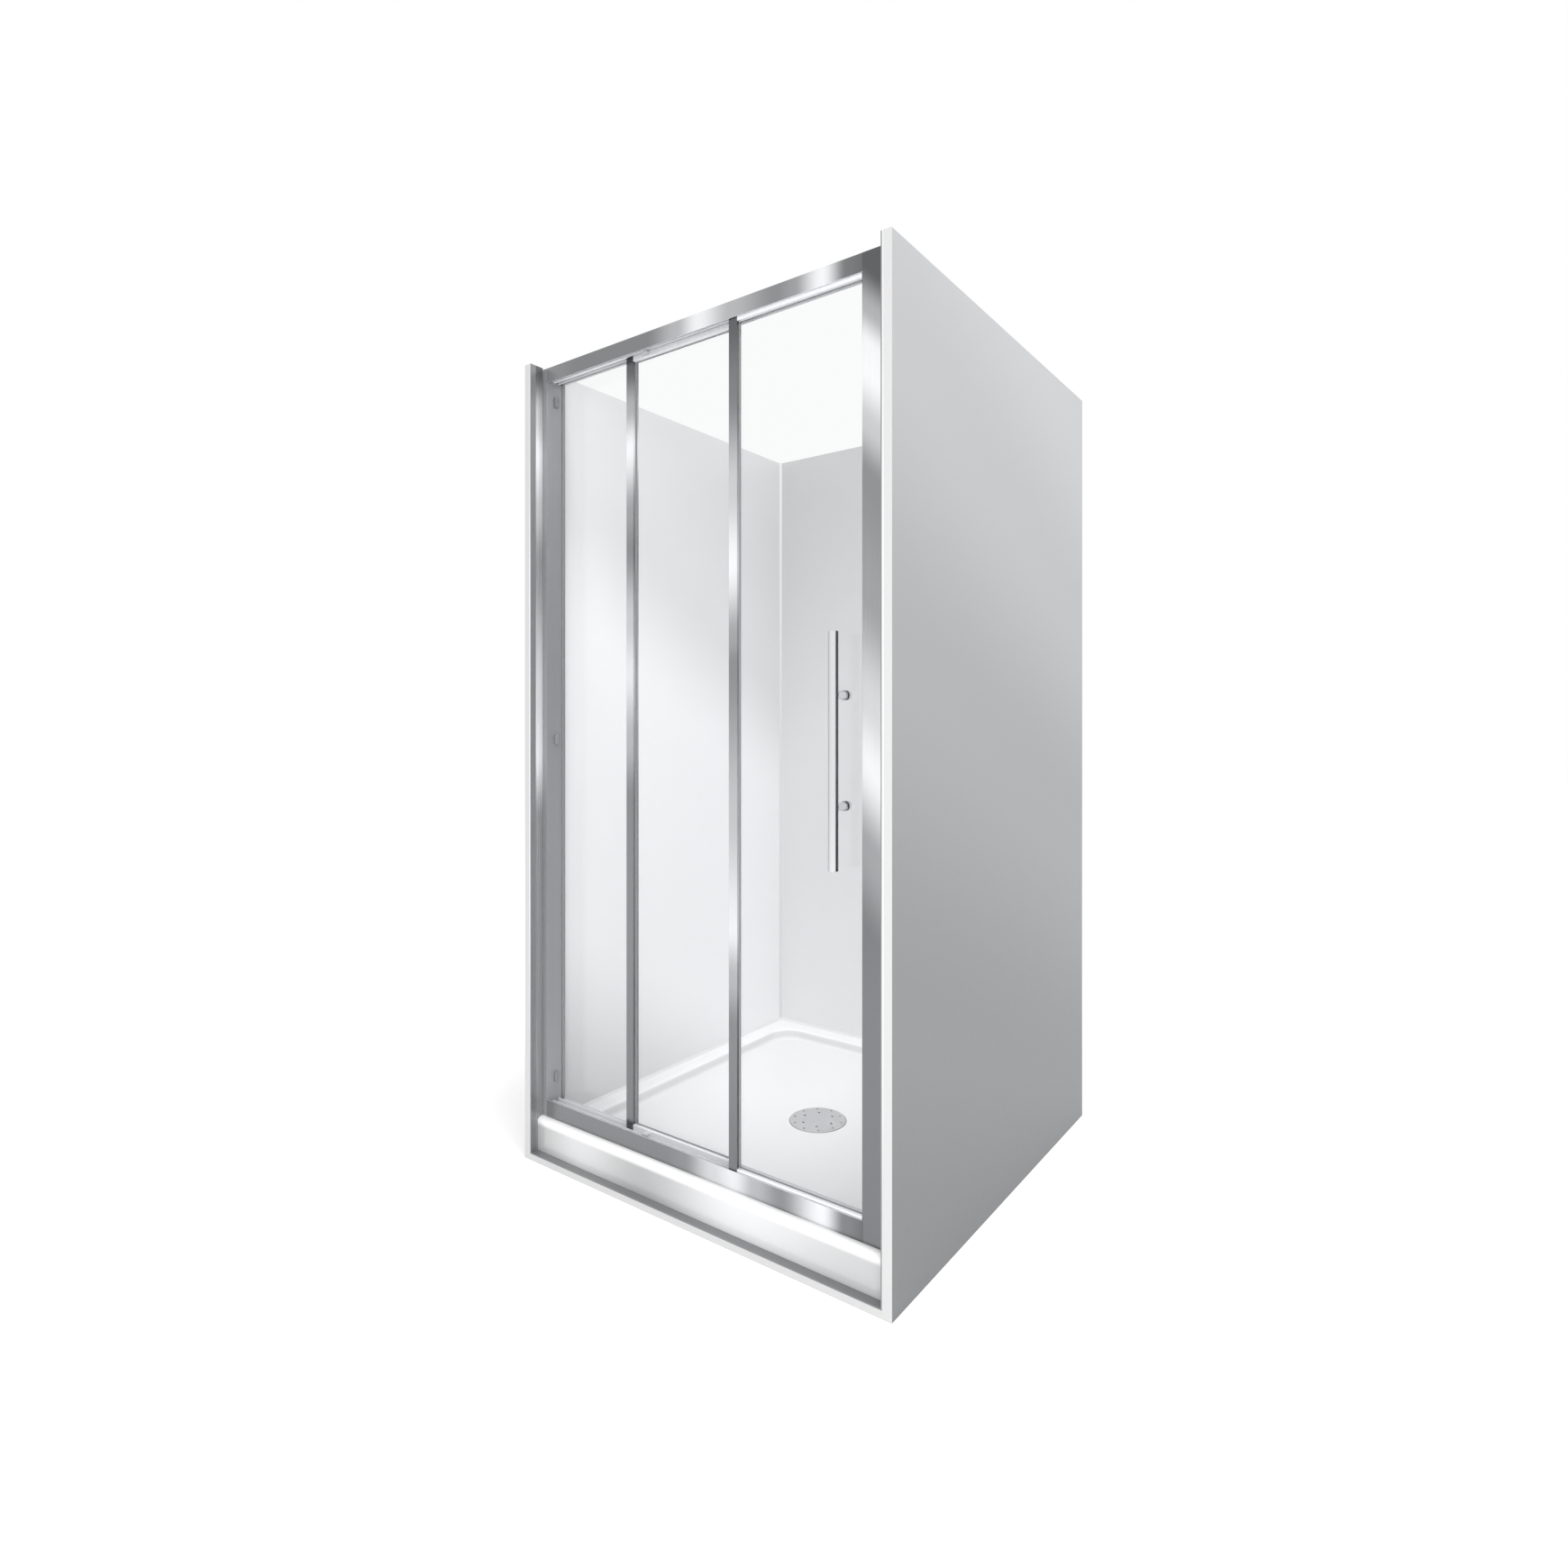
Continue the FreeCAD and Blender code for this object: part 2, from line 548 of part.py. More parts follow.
def make_sill():
    a0, a1 = JAMB_RIGHT_IN, JAMB_LEFT_IN
    z0, z1 = FRAME_BOTTOM, SILL_TOP
    pieces = [
        bar(a0 + RIGHT_JAMB_LAP, a1, FRAME_FRONT, FRAME_FRONT + WEB, z0, z1),
        bar(a0, a1, FRAME_FRONT + WEB, FRAME_BACK, z0, z0 + PLATE),
        bar(a0, a1, FRAME_BACK - WEB, FRAME_BACK, z0, SILL_SLOT_TOP),
        bar(a0, a1, SLOT_FRONT - WEB, SLOT_FRONT, z0, SILL_SLOT_TOP),
        bar(a0, a1, SLOT_BACK, SLOT_BACK + WEB, z0, SILL_SLOT_TOP),
        bar(a0, a1, MIDDLE_TRACK, MIDDLE_TRACK + WEB, z0, SILL_WEB_TOP),
        bar(a0, a1, FIXED_TRACK, FIXED_TRACK + WEB, z0, SILL_WEB_TOP),
    ]
    for deep, z in FRAME_PORTS_LOW:
        pieces.append(bar(a0, a1, deep - BOSS / 2, deep + BOSS / 2, z0 + PLATE, z + BOSS / 2))
    cuts = []
    for deep, z in FRAME_PORTS_LOW:
        cuts.append(rod(a1, deep, z, PORT_R, PORT_LONG, RIGHTWARD))
        cuts.append(rod(a0, deep, z, PORT_R, PORT_LONG, LEFTWARD))
    weep_under = z0 + PLATE
    weep_count = 4
    weep_half = 10.0
    weep_tall = 4.0
    for index in range(weep_count):
        middle = a0 + (index + 0.5) * (a1 - a0) / weep_count
        for web in (MIDDLE_TRACK, FIXED_TRACK, SLOT_FRONT - WEB, SLOT_BACK, FRAME_BACK - WEB):
            cuts.append(bar(middle - weep_half, middle + weep_half, web, web + WEB,
                            weep_under, weep_under + weep_tall))
    save("sill", drilled(fused(pieces), cuts))


def make_frame_screws():
    head_r = 3.2
    head_tall = 1.8
    shank_long = 18.0
    screws = []
    for across, direction in ((JAMB_RIGHT_IN - PLATE, LEFTWARD), (JAMB_LEFT_IN + PLATE, RIGHTWARD)):
        sign = 1.0 if direction is LEFTWARD else -1.0
        for deep, z in FRAME_PORTS_TOP + FRAME_PORTS_LOW:
            head = rod(across - sign * head_tall, deep, z, head_r, head_tall, direction)
            shank = rod(across, deep, z, PORT_R - SHANK_GAP, shank_long, direction)
            screws.append(fused([head, shank]))
    save("frame_screws", *screws)


# ---------------------------------------------------------------- fixed panel
def make_fixed_panel():
    glass_right = FIXED_LEFT - SLOT_DEEP + SLOT_END_GAP
    block_tall = 3.0
    z0 = FRAME_BOTTOM + PLATE + block_tall + SLOT_END_GAP
    z1 = FRAME_TOP - PLATE - block_tall - SLOT_END_GAP
    front = FIXED_TRACK + GLASS_FRONT
    save("fixed_glass", bar(glass_right, FIXED_GLASS_LEFT, front, front + GLASS, z0, z1))

    stile = stile_profile(FIXED_RIGHT, FIXED_LEFT, FIXED_TRACK, SILL_SLOT_TOP, HEADER_SLOT_BOTTOM,
                          True)
    save("fixed_stile", fused([stile, front_hook(FIXED_RIGHT, FIXED_TRACK)]))

    outer = bar(FIXED_LEFT, POCKET_FLOOR, front - GASKET, front + GLASS + GASKET,
                z0 - SLOT_END_GAP, z1 + SLOT_END_GAP)
    shy = 1.0
    inner = bar(FIXED_LEFT - shy, JAMB_LEFT_IN + shy, front - 2, front + GLASS + 2,
                SILL_SLOT_TOP - shy, HEADER_SLOT_BOTTOM + shy)
    glass = bar(glass_right, FIXED_GLASS_LEFT, front, front + GLASS, z0, z1)
    gasket = outer.cut(inner).cut(glass)
    block_half = 30.0
    blocks = [bar(middle - block_half, middle + block_half, front - GASKET, front + GLASS + GASKET,
                  FRAME_BOTTOM + PLATE, z0 - SLOT_END_GAP) for middle in (780.0, 900.0)]
    save("fixed_glazing_gasket", gasket, *blocks)

    bumper_thick = 6.0
    bumper_tall = 24.0
    bumpers = [bar(JAMB_LEFT_IN - bumper_thick, JAMB_LEFT_IN, MIDDLE_TRACK + 5.0,
                   MIDDLE_TRACK + 15.0, z, z + bumper_tall) for z in (170.0, 980.0, 1790.0)]
    save("jamb_bumpers", *[soften(piece, UP, 2.0) for piece in bumpers])


# ---------------------------------------------------------------- door panels
SCREW_TOP_Z = PANEL_TOP - 2.5
SCREW_LOW_Z = 127.5
DOOR_PORT_R = 1.6
DOOR_HEAD_R = 2.4
DOOR_HEAD_TALL = 1.6
DOOR_ACCESS_R = 3.0
DOOR_PORT_LONG = 11.0
TOP_RAIL_ROOF = 5.0
LOW_SLOT_TALL = 8.0
DOOR_SCREW_DEEP = GLASS_FRONT + GLASS / 2


def stile_profile(across0, across1, track, z0, z1, glass_to_left):
    """A hollow upright with a glazing slot on the side that holds the glass."""
    outer = bar(across0, across1, track + STILE_FRONT, track + STILE_BACK, z0, z1)
    outer = soften(outer, UP, PROFILE_EDGE)
    slot_front = track + GLASS_FRONT - GASKET
    slot_back = slot_front + GLASS + 2 * GASKET
    wall = PROFILE_WALL
    if glass_to_left:
        slot = bar(across1 - SLOT_DEEP, across1, slot_front, slot_back, z0, z1)
        cavity = bar(across0 + wall, across1 - SLOT_DEEP - wall, track + STILE_FRONT + wall,
                     track + STILE_BACK - wall, z0, z1)
        pocket = bar(across1 - SLOT_DEEP, across1 - wall, track + STILE_FRONT + wall,
                     slot_front - wall, z0, z1)
    else:
        slot = bar(across0, across0 + SLOT_DEEP, slot_front, slot_back, z0, z1)
        cavity = bar(across0 + SLOT_DEEP + wall, across1 - wall, track + STILE_FRONT + wall,
                     track + STILE_BACK - wall, z0, z1)
        pocket = bar(across0 + wall, across0 + SLOT_DEEP, track + STILE_FRONT + wall,
                     slot_front - wall, z0, z1)
    return drilled(outer, [slot, cavity, pocket])


def stile_screw_holes(across_outer, across_slot, track):
    """Driver access through the outer wall, and the shank's hole through the inner wall."""
    holes = []
    away = LEFTWARD if across_slot > across_outer else RIGHTWARD
    for z in (SCREW_TOP_Z, SCREW_LOW_Z):
        reach = abs(across_slot - across_outer)
        holes.append(rod(across_outer, track + DOOR_SCREW_DEEP, z, SCREW_HOLE_R, reach, away))
        holes.append(rod(across_outer, track + DOOR_SCREW_DEEP, z, DOOR_ACCESS_R, PROFILE_WALL, away))
    return holes


def door_rails(name, track, across0, across1):
    """The top and bottom rails between the stiles, with glazing slots and screw ports."""
    slot_front = track + GLASS_FRONT - GASKET
    slot_back = slot_front + GLASS + 2 * GASKET
    front = track + STILE_FRONT
    back = track + STILE_BACK
    top_z0 = PANEL_TOP - TOP_RAIL_TALL
    top_slot_end = PANEL_TOP - TOP_RAIL_ROOF
    low_z1 = PANEL_BOTTOM + BOTTOM_RAIL_TALL
    low_slot_end = low_z1 - LOW_SLOT_TALL
    low_hollow_top = SCREW_LOW_Z - 3.5

    top = soften(bar(across0, across1, front, back, top_z0, PANEL_TOP), RIGHTWARD, PROFILE_EDGE)
    top_cuts = [bar(across0, across1, slot_front, slot_back, top_z0, top_slot_end),
                bar(across0, across1, front + PROFILE_WALL, slot_front - PROFILE_WALL,
                    top_z0 + PROFILE_WALL, top_slot_end)]
    low = soften(bar(across0, across1, front, back, PANEL_BOTTOM, low_z1), RIGHTWARD, PROFILE_EDGE)
    low_cuts = [bar(across0, across1, slot_front, slot_back, low_slot_end, low_z1),
                bar(across0, across1, front + PROFILE_WALL, slot_front - PROFILE_WALL,
                    low_slot_end, low_z1 - PROFILE_WALL),
                bar(across0, across1, front + PROFILE_WALL, back - PROFILE_WALL,
                    PANEL_BOTTOM + PROFILE_WALL, low_hollow_top)]
    for cuts, z in ((top_cuts, SCREW_TOP_Z), (low_cuts, SCREW_LOW_Z)):
        cuts.append(rod(across0, track + DOOR_SCREW_DEEP, z, DOOR_PORT_R, DOOR_PORT_LONG, LEFTWARD))
        cuts.append(rod(across1, track + DOOR_SCREW_DEEP, z, DOOR_PORT_R, DOOR_PORT_LONG, RIGHTWARD))
    for middle in (across0 + CARRIAGE_INSET, across1 - CARRIAGE_INSET):
        for shift in CARRIAGE_SCREW_SHIFTS:
            top_cuts.append(rod(middle + shift, track + CARRIAGE_SCREW_DEEP, PANEL_TOP - 4.5,
                                DOOR_PORT_R, 4.5, UP))
    save(name + "_top_rail", drilled(top, top_cuts))
    save(name + "_bottom_rail", drilled(low, low_cuts))


AXLE_FRONT = 2.1
WHEEL_FRONT = 2.9
SPACER_FRONT = 7.4
BRACKET_FRONT = 8.2
BRACKET_FOOT_BACK = 16.2
BRACKET_THICK = 2.5
BRACKET_OVER_AXLE = 6.5
AXLE_HEAD_R = 4.4
AXLE_NUT_R = 4.2
GUIDE_FRONT = 2.1
GUIDE_BACK = 16.7
GUIDE_BOTTOM = 103.5
BRACKET_SCREW_HEAD_R = 2.5


def make_wheel(middle, track):
    """A nylon roller with a raised hub ring and a plain bore."""
    front = track + WHEEL_FRONT
    recess_deep = 0.9
    tyre = rod(middle, front, WHEEL_Z, WHEEL_R, WHEEL_WIDE, BACKWARD)
    tyre = tyre.makeChamfer(0.4, [edge for edge in tyre.Edges if edge.Length > 50.0
                                  and len(edge.Vertexes) == 1])
    recess = rod(middle, front, WHEEL_Z, WHEEL_R - 1.8, recess_deep, BACKWARD)
    hub = rod(middle, front, WHEEL_Z, AXLE_R + 1.8, recess_deep, BACKWARD)
    bore = rod(middle, front, WHEEL_Z, AXLE_R + RUNNING_GAP, WHEEL_WIDE, BACKWARD)
    return tyre.cut(recess.cut(hub)).cut(bore)


def door_carriages(name, track, across0, across1):
    """Roller brackets, axles, wheels and bottom guides near both ends of the rails."""
    brackets, axles, guides = [], [], []
    middles = {"right": across0 + CARRIAGE_INSET, "left": across1 - CARRIAGE_INSET}
    for side, middle in middles.items():
        a0 = middle - CARRIAGE_LONG / 2
        a1 = middle + CARRIAGE_LONG / 2
        foot = bar(a0, a1, track + BRACKET_FRONT, track + BRACKET_FOOT_BACK,
                   PANEL_TOP, PANEL_TOP + BRACKET_THICK)
        upright = bar(a0, a1, track + BRACKET_FRONT, track + BRACKET_FRONT + BRACKET_THICK,
                      PANEL_TOP, WHEEL_Z + BRACKET_OVER_AXLE)
        upright = soften(upright, BACKWARD, 5.0, lambda point: point.z > WHEEL_Z)
        holes = [rod(middle, track + BRACKET_FRONT, WHEEL_Z, AXLE_R, BRACKET_THICK, BACKWARD)]
        for shift in CARRIAGE_SCREW_SHIFTS:
            holes.append(rod(middle + shift, track + CARRIAGE_SCREW_DEEP, PANEL_TOP,
                             DOOR_PORT_R + 0.1, BRACKET_THICK, UP))
        brackets.append(drilled(fused([foot, upright]), holes))
        nut_front = BRACKET_FRONT + BRACKET_THICK
        axles.append(fused([
            rod(middle, track + AXLE_FRONT, WHEEL_Z, AXLE_HEAD_R, 0.7, BACKWARD),
            rod(middle, track + AXLE_FRONT, WHEEL_Z, AXLE_R, nut_front + 1.0 - AXLE_FRONT, BACKWARD),
            rod(middle, track + SPACER_FRONT, WHEEL_Z, AXLE_HEAD_R, BRACKET_FRONT - SPACER_FRONT,
                BACKWARD),
            rod(middle, track + nut_front, WHEEL_Z, AXLE_NUT_R, 1.0, BACKWARD),
        ]))
        guide = bar(a0, a1, track + GUIDE_FRONT, track + GUIDE_BACK, GUIDE_BOTTOM, PANEL_BOTTOM)
        guides.append(soften(guide, UP, 3.0))
        save(name + "_" + side + "_wheel", make_wheel(middle, track))
    save(name + "_roller_brackets", *brackets)
    save(name + "_roller_axles", *axles)
    save(name + "_bottom_guides", *guides)


def door_screws(name, track, inner0, inner1, slot0, slot1):
    """Corner screws through the stiles, and the roller brackets' screws."""
    screws = []
    for z in (SCREW_TOP_Z, SCREW_LOW_Z):
        for slot, rail, direction, sign in ((slot0, inner0, LEFTWARD, 1.0),
                                            (slot1, inner1, RIGHTWARD, -1.0)):
            under = slot - sign * PROFILE_WALL
            head = rod(under - sign * DOOR_HEAD_TALL, track + DOOR_SCREW_DEEP, z, DOOR_HEAD_R,
                       DOOR_HEAD_TALL, direction)
            reach = abs(rail - under) + DOOR_PORT_LONG - 1.5
            shank = rod(under, track + DOOR_SCREW_DEEP, z, DOOR_PORT_R - SHANK_GAP, reach, direction)
            screws.append(fused([head, shank]))
    for middle in (inner0 + CARRIAGE_INSET, inner1 - CARRIAGE_INSET):
        for shift in CARRIAGE_SCREW_SHIFTS:
            place = (middle + shift, track + CARRIAGE_SCREW_DEEP)
            head = rod(*place, PANEL_TOP + BRACKET_THICK, BRACKET_SCREW_HEAD_R, DOOR_HEAD_TALL, UP)
            shank = rod(*place, PANEL_TOP - 4.0, DOOR_PORT_R - SHANK_GAP, 4.0 + BRACKET_THICK, UP)
            screws.append(fused([head, shank]))
    save(name + "_door_screws", *screws)


def door_glazing(name, track, rail0, rail1, holes):
    """The glass pane and the gasket that packs it in the slots."""
    front = track + GLASS_FRONT
    gap = SLOT_END_GAP
    a0 = rail0 - SLOT_DEEP + gap
    a1 = rail1 + SLOT_DEEP - gap
    z0 = PANEL_BOTTOM + BOTTOM_RAIL_TALL - LOW_SLOT_TALL + gap
    z1 = PANEL_TOP - TOP_RAIL_ROOF - gap
    pane = bar(a0, a1, front, front + GLASS, z0, z1)
    save(name + "_glass", drilled(pane, holes) if holes else pane)
    outer = bar(a0 - gap, a1 + gap, front - GASKET, front + GLASS + GASKET, z0 - gap, z1 + gap)
    lip = 0.8
    window = bar(rail0 + lip, rail1 - lip, front - 2.0, front + GLASS + 2.0,
                 PANEL_BOTTOM + BOTTOM_RAIL_TALL + lip, PANEL_TOP - TOP_RAIL_TALL - lip)
    save(name + "_glazing_gasket", outer.cut(window).cut(pane))


def front_hook(across, track):
    """An interlock fin along the front of an upright, rooted a little way into it."""
    return bar(across, across + HOOK_WIDE, track + STILE_FRONT - HOOK_DEEP,
               track + STILE_FRONT + HOOK_ROOT, HOOK_BOTTOM, HOOK_TOP)


def rear_hook(across, track):
    """An interlock fin along the back of an upright."""
    return bar(across, across + HOOK_WIDE, track + STILE_BACK - HOOK_ROOT,
               track + STILE_BACK + HOOK_DEEP, HOOK_BOTTOM, HOOK_TOP)


SEAL_THICK = 1.0
SEAL_BOTTOM = 136.0
SEAL_TOP = 1838.0


def make_leading_door():
    track = LEADING_TRACK
    rail0 = LEADING_RIGHT + CLOSING_STILE_WIDE
    rail1 = LEADING_LEFT - STILE_WIDE
    right = stile_profile(LEADING_RIGHT, rail0, track, PANEL_BOTTOM, PANEL_TOP, True)
    right = drilled(right, stile_screw_holes(LEADING_RIGHT, rail0 - SLOT_DEEP, track))
    save("leading_right_stile", right)
    left = stile_profile(rail1, LEADING_LEFT, track, PANEL_BOTTOM, PANEL_TOP, False)
    left = drilled(left, stile_screw_holes(LEADING_LEFT, rail1 + SLOT_DEEP, track))
    fin = rear_hook(MIDDLE_RIGHT + HOOK_WIDE + HOOK_GAP, track)
    save("leading_left_stile", fused([left, fin]))
    door_rails("leading", track, rail0, rail1)
    door_carriages("leading", track, rail0, rail1)
    door_screws("leading", track, rail0, rail1, rail0 - SLOT_DEEP, rail1 + SLOT_DEEP)
    door_glazing("leading", track, rail0, rail1, handle_holes())
    seal = bar(LEADING_RIGHT - SEAL_THICK, LEADING_RIGHT, track + 6.0, track + 14.0,
               SEAL_BOTTOM, SEAL_TOP)
    save("leading_closing_seal", seal)


def make_middle_door():
    track = MIDDLE_TRACK
    rail0 = MIDDLE_RIGHT + STILE_WIDE
    rail1 = MIDDLE_LEFT - STILE_WIDE
    right = stile_profile(MIDDLE_RIGHT, rail0, track, PANEL_BOTTOM, PANEL_TOP, True)
    right = drilled(right, stile_screw_holes(MIDDLE_RIGHT, rail0 - SLOT_DEEP, track))
    save("middle_right_stile", fused([right, front_hook(MIDDLE_RIGHT, track)]))
    left = stile_profile(rail1, MIDDLE_LEFT, track, PANEL_BOTTOM, PANEL_TOP, False)
    left = drilled(left, stile_screw_holes(MIDDLE_LEFT, rail1 + SLOT_DEEP, track))
    fin = rear_hook(FIXED_RIGHT + HOOK_WIDE + HOOK_GAP, track)
    save("middle_left_stile", fused([left, fin]))
    door_rails("middle", track, rail0, rail1)
    door_carriages("middle", track, rail0, rail1)
    door_screws("middle", track, rail0, rail1, rail0 - SLOT_DEEP, rail1 + SLOT_DEEP)
    door_glazing("middle", track, rail0, rail1, [])
    stop_right = LEADING_LEFT + DOOR_TRAVEL + JOINT_GAP
    stop_long = 15.0
    stop_tall = 5.0
    stop_low = SILL_WEB_TOP + JOINT_GAP
    stop_high = HEADER_BOTTOM - stop_tall
    stops = [bar(stop_right, stop_right + stop_long, LEADING_TRACK + 11.0, track + STILE_FRONT,
                 z, z + stop_tall) for z in (stop_high, stop_low)]
    save("middle_pickup_stops", *[soften(stop, UP, 1.5) for stop in stops])


# ---------------------------------------------------------------- handle
def post_heights():
    return (HANDLE_Z - POST_SPACING / 2, HANDLE_Z + POST_SPACING / 2)


GLASS_FACE = LEADING_TRACK + GLASS_FRONT
HANDLE_SCREW_R = 3.0
HANDLE_BORE_R = 3.15
HANDLE_GLASS_HOLE_R = 5.0


def handle_holes():
    """Round holes through the leading door's glass."""
    return [rod(HANDLE_ACROSS, GLASS_FACE, z, HANDLE_GLASS_HOLE_R, GLASS, BACKWARD)
            for z in post_heights()]


def make_handle():
    z0 = HANDLE_Z - HANDLE_LONG / 2
    tube = rod(HANDLE_ACROSS, HANDLE_DEEP, z0, HANDLE_R, HANDLE_LONG, UP)
    bore = rod(HANDLE_ACROSS, HANDLE_DEEP, z0, HANDLE_R - HANDLE_WALL, HANDLE_LONG, UP)
    entries = [rod(HANDLE_ACROSS, HANDLE_DEEP, z, HANDLE_BORE_R, HANDLE_R, BACKWARD)
               for z in post_heights()]
    save("handle_bar", drilled(tube.cut(bore), entries))

    plug_long = 8.0
    plugs = [rod(HANDLE_ACROSS, HANDLE_DEEP, z, HANDLE_R - HANDLE_WALL, plug_long, UP)
             for z in (z0, z0 + HANDLE_LONG - plug_long)]
    save("handle_end_plugs", *plugs)

    posts, caps, screws, washers = [], [], [], []
    saddle = rod(HANDLE_ACROSS, HANDLE_DEEP, z0, HANDLE_R, HANDLE_LONG, UP)
    washer = 1.0
    socket_deep = 5.0
    for z in post_heights():
        post = rod(HANDLE_ACROSS, HANDLE_DEEP, z, POST_R, GLASS_FACE - HANDLE_DEEP - washer, BACKWARD)
        bore = rod(HANDLE_ACROSS, HANDLE_DEEP, z, HANDLE_BORE_R, GLASS_FACE, BACKWARD)
        posts.append(post.cut(saddle).cut(bore))
        for deep in (GLASS_FACE - washer, GLASS_FACE + GLASS):
            disc = rod(HANDLE_ACROSS, deep, z, CAP_R, washer, BACKWARD)
            washers.append(disc.cut(bore))
        cap_front = GLASS_FACE + GLASS + washer
        cap = rod(HANDLE_ACROSS, cap_front, z, CAP_R, CAP_DEEP, BACKWARD)
        cap = cap.makeFillet(2.0, [edge for edge in cap.Edges
                                   if edge.BoundBox.YMin > FRONT + cap_front + CAP_DEEP - 0.1])
        socket = rod(HANDLE_ACROSS, cap_front, z, HANDLE_SCREW_R, socket_deep, BACKWARD)
        caps.append(cap.cut(socket))
        start = HANDLE_DEEP + 3.0
        screws.append(rod(HANDLE_ACROSS, start, z, HANDLE_SCREW_R,
                          cap_front + socket_deep - start, BACKWARD))
    save("handle_posts", *posts)
    save("handle_inner_caps", *caps)
    save("handle_fixings", *(screws + washers))


def main():
    os.makedirs("parts", exist_ok=True)
    make_boards()
    make_liners()
    make_sealant()
    make_tray()
    make_waste()
    make_edge_trims()
    make_wall_fixings()
    make_jambs()
    make_header()
    make_sill()
    make_frame_screws()
    make_fixed_panel()
    make_leading_door()
    make_middle_door()
    make_handle()


main()
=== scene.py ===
"""Looks of a three-sided alcove shower with a telescoping glass door.

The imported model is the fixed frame.  Each operator dresses one piece, or one group of like
pieces, and the last one sets the stage, the lamps and the camera.  Everything is in metres.
"""

import math

import bmesh
import bpy
from bpy.props import FloatProperty, FloatVectorProperty, PointerProperty
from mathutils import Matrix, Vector


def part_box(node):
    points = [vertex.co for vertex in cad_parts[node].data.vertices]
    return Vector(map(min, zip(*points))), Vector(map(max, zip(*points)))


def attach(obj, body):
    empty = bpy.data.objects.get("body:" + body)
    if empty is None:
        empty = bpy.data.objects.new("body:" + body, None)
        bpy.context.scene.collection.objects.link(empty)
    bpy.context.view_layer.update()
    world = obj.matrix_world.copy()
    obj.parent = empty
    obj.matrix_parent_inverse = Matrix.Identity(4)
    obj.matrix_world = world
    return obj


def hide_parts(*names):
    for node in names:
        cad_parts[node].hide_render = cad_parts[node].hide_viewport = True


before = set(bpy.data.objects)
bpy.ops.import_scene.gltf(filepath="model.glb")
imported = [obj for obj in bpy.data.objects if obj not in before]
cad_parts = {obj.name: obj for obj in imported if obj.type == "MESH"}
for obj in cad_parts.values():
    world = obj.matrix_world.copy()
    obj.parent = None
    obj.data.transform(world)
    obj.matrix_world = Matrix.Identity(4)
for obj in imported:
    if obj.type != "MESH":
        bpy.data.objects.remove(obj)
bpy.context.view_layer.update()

bl_info = {
    "name": "Alcove Shower with Sliding Door",
    "version": (1, 0, 0),
    "blender": (4, 5, 0),
    "location": "View3D > Sidebar > Shower",
    "description": "Dresses a three-sided shower: walls, tray, bright frame, glass and handle",
    "category": "Object",
}

# ---------------------------------------------------------------- places read from the frame
BASE_LOW, BASE_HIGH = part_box("base_board")
FRONT_Y = BASE_LOW.y
TRAY_LOW, TRAY_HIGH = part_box("tray_shell")
SILL_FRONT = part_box("sill")[0].y
HEADER_LOW, HEADER_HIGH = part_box("header")
BAR_LOW, BAR_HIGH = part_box("handle_bar")
COVER_LOW, COVER_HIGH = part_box("waste_cover")

MILLIMETRE = 0.001
RIGHT, BACK, UP = (1, 0, 0), (0, 1, 0), (0, 0, 1)
SMALL_SLACK = 0.1 * MILLIMETRE
# How far up a face's normal points from which it counts as level, and beside rounded edges.
LEVEL, LEVEL_BY_ROUNDING = 0.9, 0.99
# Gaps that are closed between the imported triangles, and between the corners of a rounding.
TRIANGLE_GAP, ROUNDING_GAP = 0.00001, 0.000001
FLAT_ANGLE = math.radians(0.5)


# ================================================================ sizes and colours to change
def length(name, description, default):
    """A distance that a user may change."""
    return FloatProperty(name=name, description=description, default=default, min=0.0,
                         unit="LENGTH", subtype="DISTANCE", precision=4)


def tint(name, description, default):
    """A colour that a user may change."""
    return FloatVectorProperty(name=name, description=description, default=default, size=3,
                               min=0.0, max=1.0, subtype="COLOR")


class ShowerSizes(bpy.types.PropertyGroup):
    """Radii and small depths of the finished edges."""

    board_edge: length("Board edge", "Rounding of the wall boards' edges", 0.0008)
    metal_edge: length("Metal edge", "Rounding of the extruded metal's edges", 0.0004)
    glass_edge: length("Glass edge", "Arris ground on the panes' edges", 0.0005)
    threshold_deep: length("Threshold", "Depth of the tray's threshold", 0.080)
    threshold_rise: length("Threshold rise", "Height of the threshold over the ledge", 0.025)
    ledge_wide: length("Ledge", "Width of the ledge along the walls", 0.055)
    basin_gap: length("Front ledge", "From the threshold to the basin", 0.010)
    basin_deep: length("Basin depth", "From the ledge down to the floor", 0.024)
    basin_draft: length("Basin draft", "How far the basin's walls lean in", 0.012)
    basin_corner: length("Basin corner", "Radius of the basin's corners", 0.060)
    lip_radius: length("Lip radius", "Rounding of the apron's upper edge", 0.012)
    floor_fall: length("Floor fall", "Fall of the floor towards the waste", 0.007)
    tray_skin: length("Tray skin", "Thickness of the acrylic shell", 0.005)
    bar_chamfer: length("Bar end", "Rounding at the ends of the pull bar", 0.0009)


class ShowerColours(bpy.types.PropertyGroup):
    """Colours of the finishes, as linear values."""

    acrylic: tint("Acrylic", "White of the tray", (0.945, 0.945, 0.95))
    silicone: tint("Silicone", "Sealant beads", (0.78, 0.78, 0.78))
    nylon: tint("Nylon", "Wheels, guides and stops", (0.72, 0.72, 0.69))
    rubber: tint("Rubber", "Bumpers and waste gasket", (0.27, 0.27, 0.28))
    gasket: tint("Gasket", "Glazing seals", (0.55, 0.56, 0.57))
    steel: tint("Steel", "Screws, brackets and axles", (0.46, 0.46, 0.47))
    foam: tint("Foam", "Core below the tray", (0.62, 0.55, 0.38))
    glass_tint: tint("Glass", "Light that passes through a face of a pane",
                     (0.978, 0.980, 0.981))


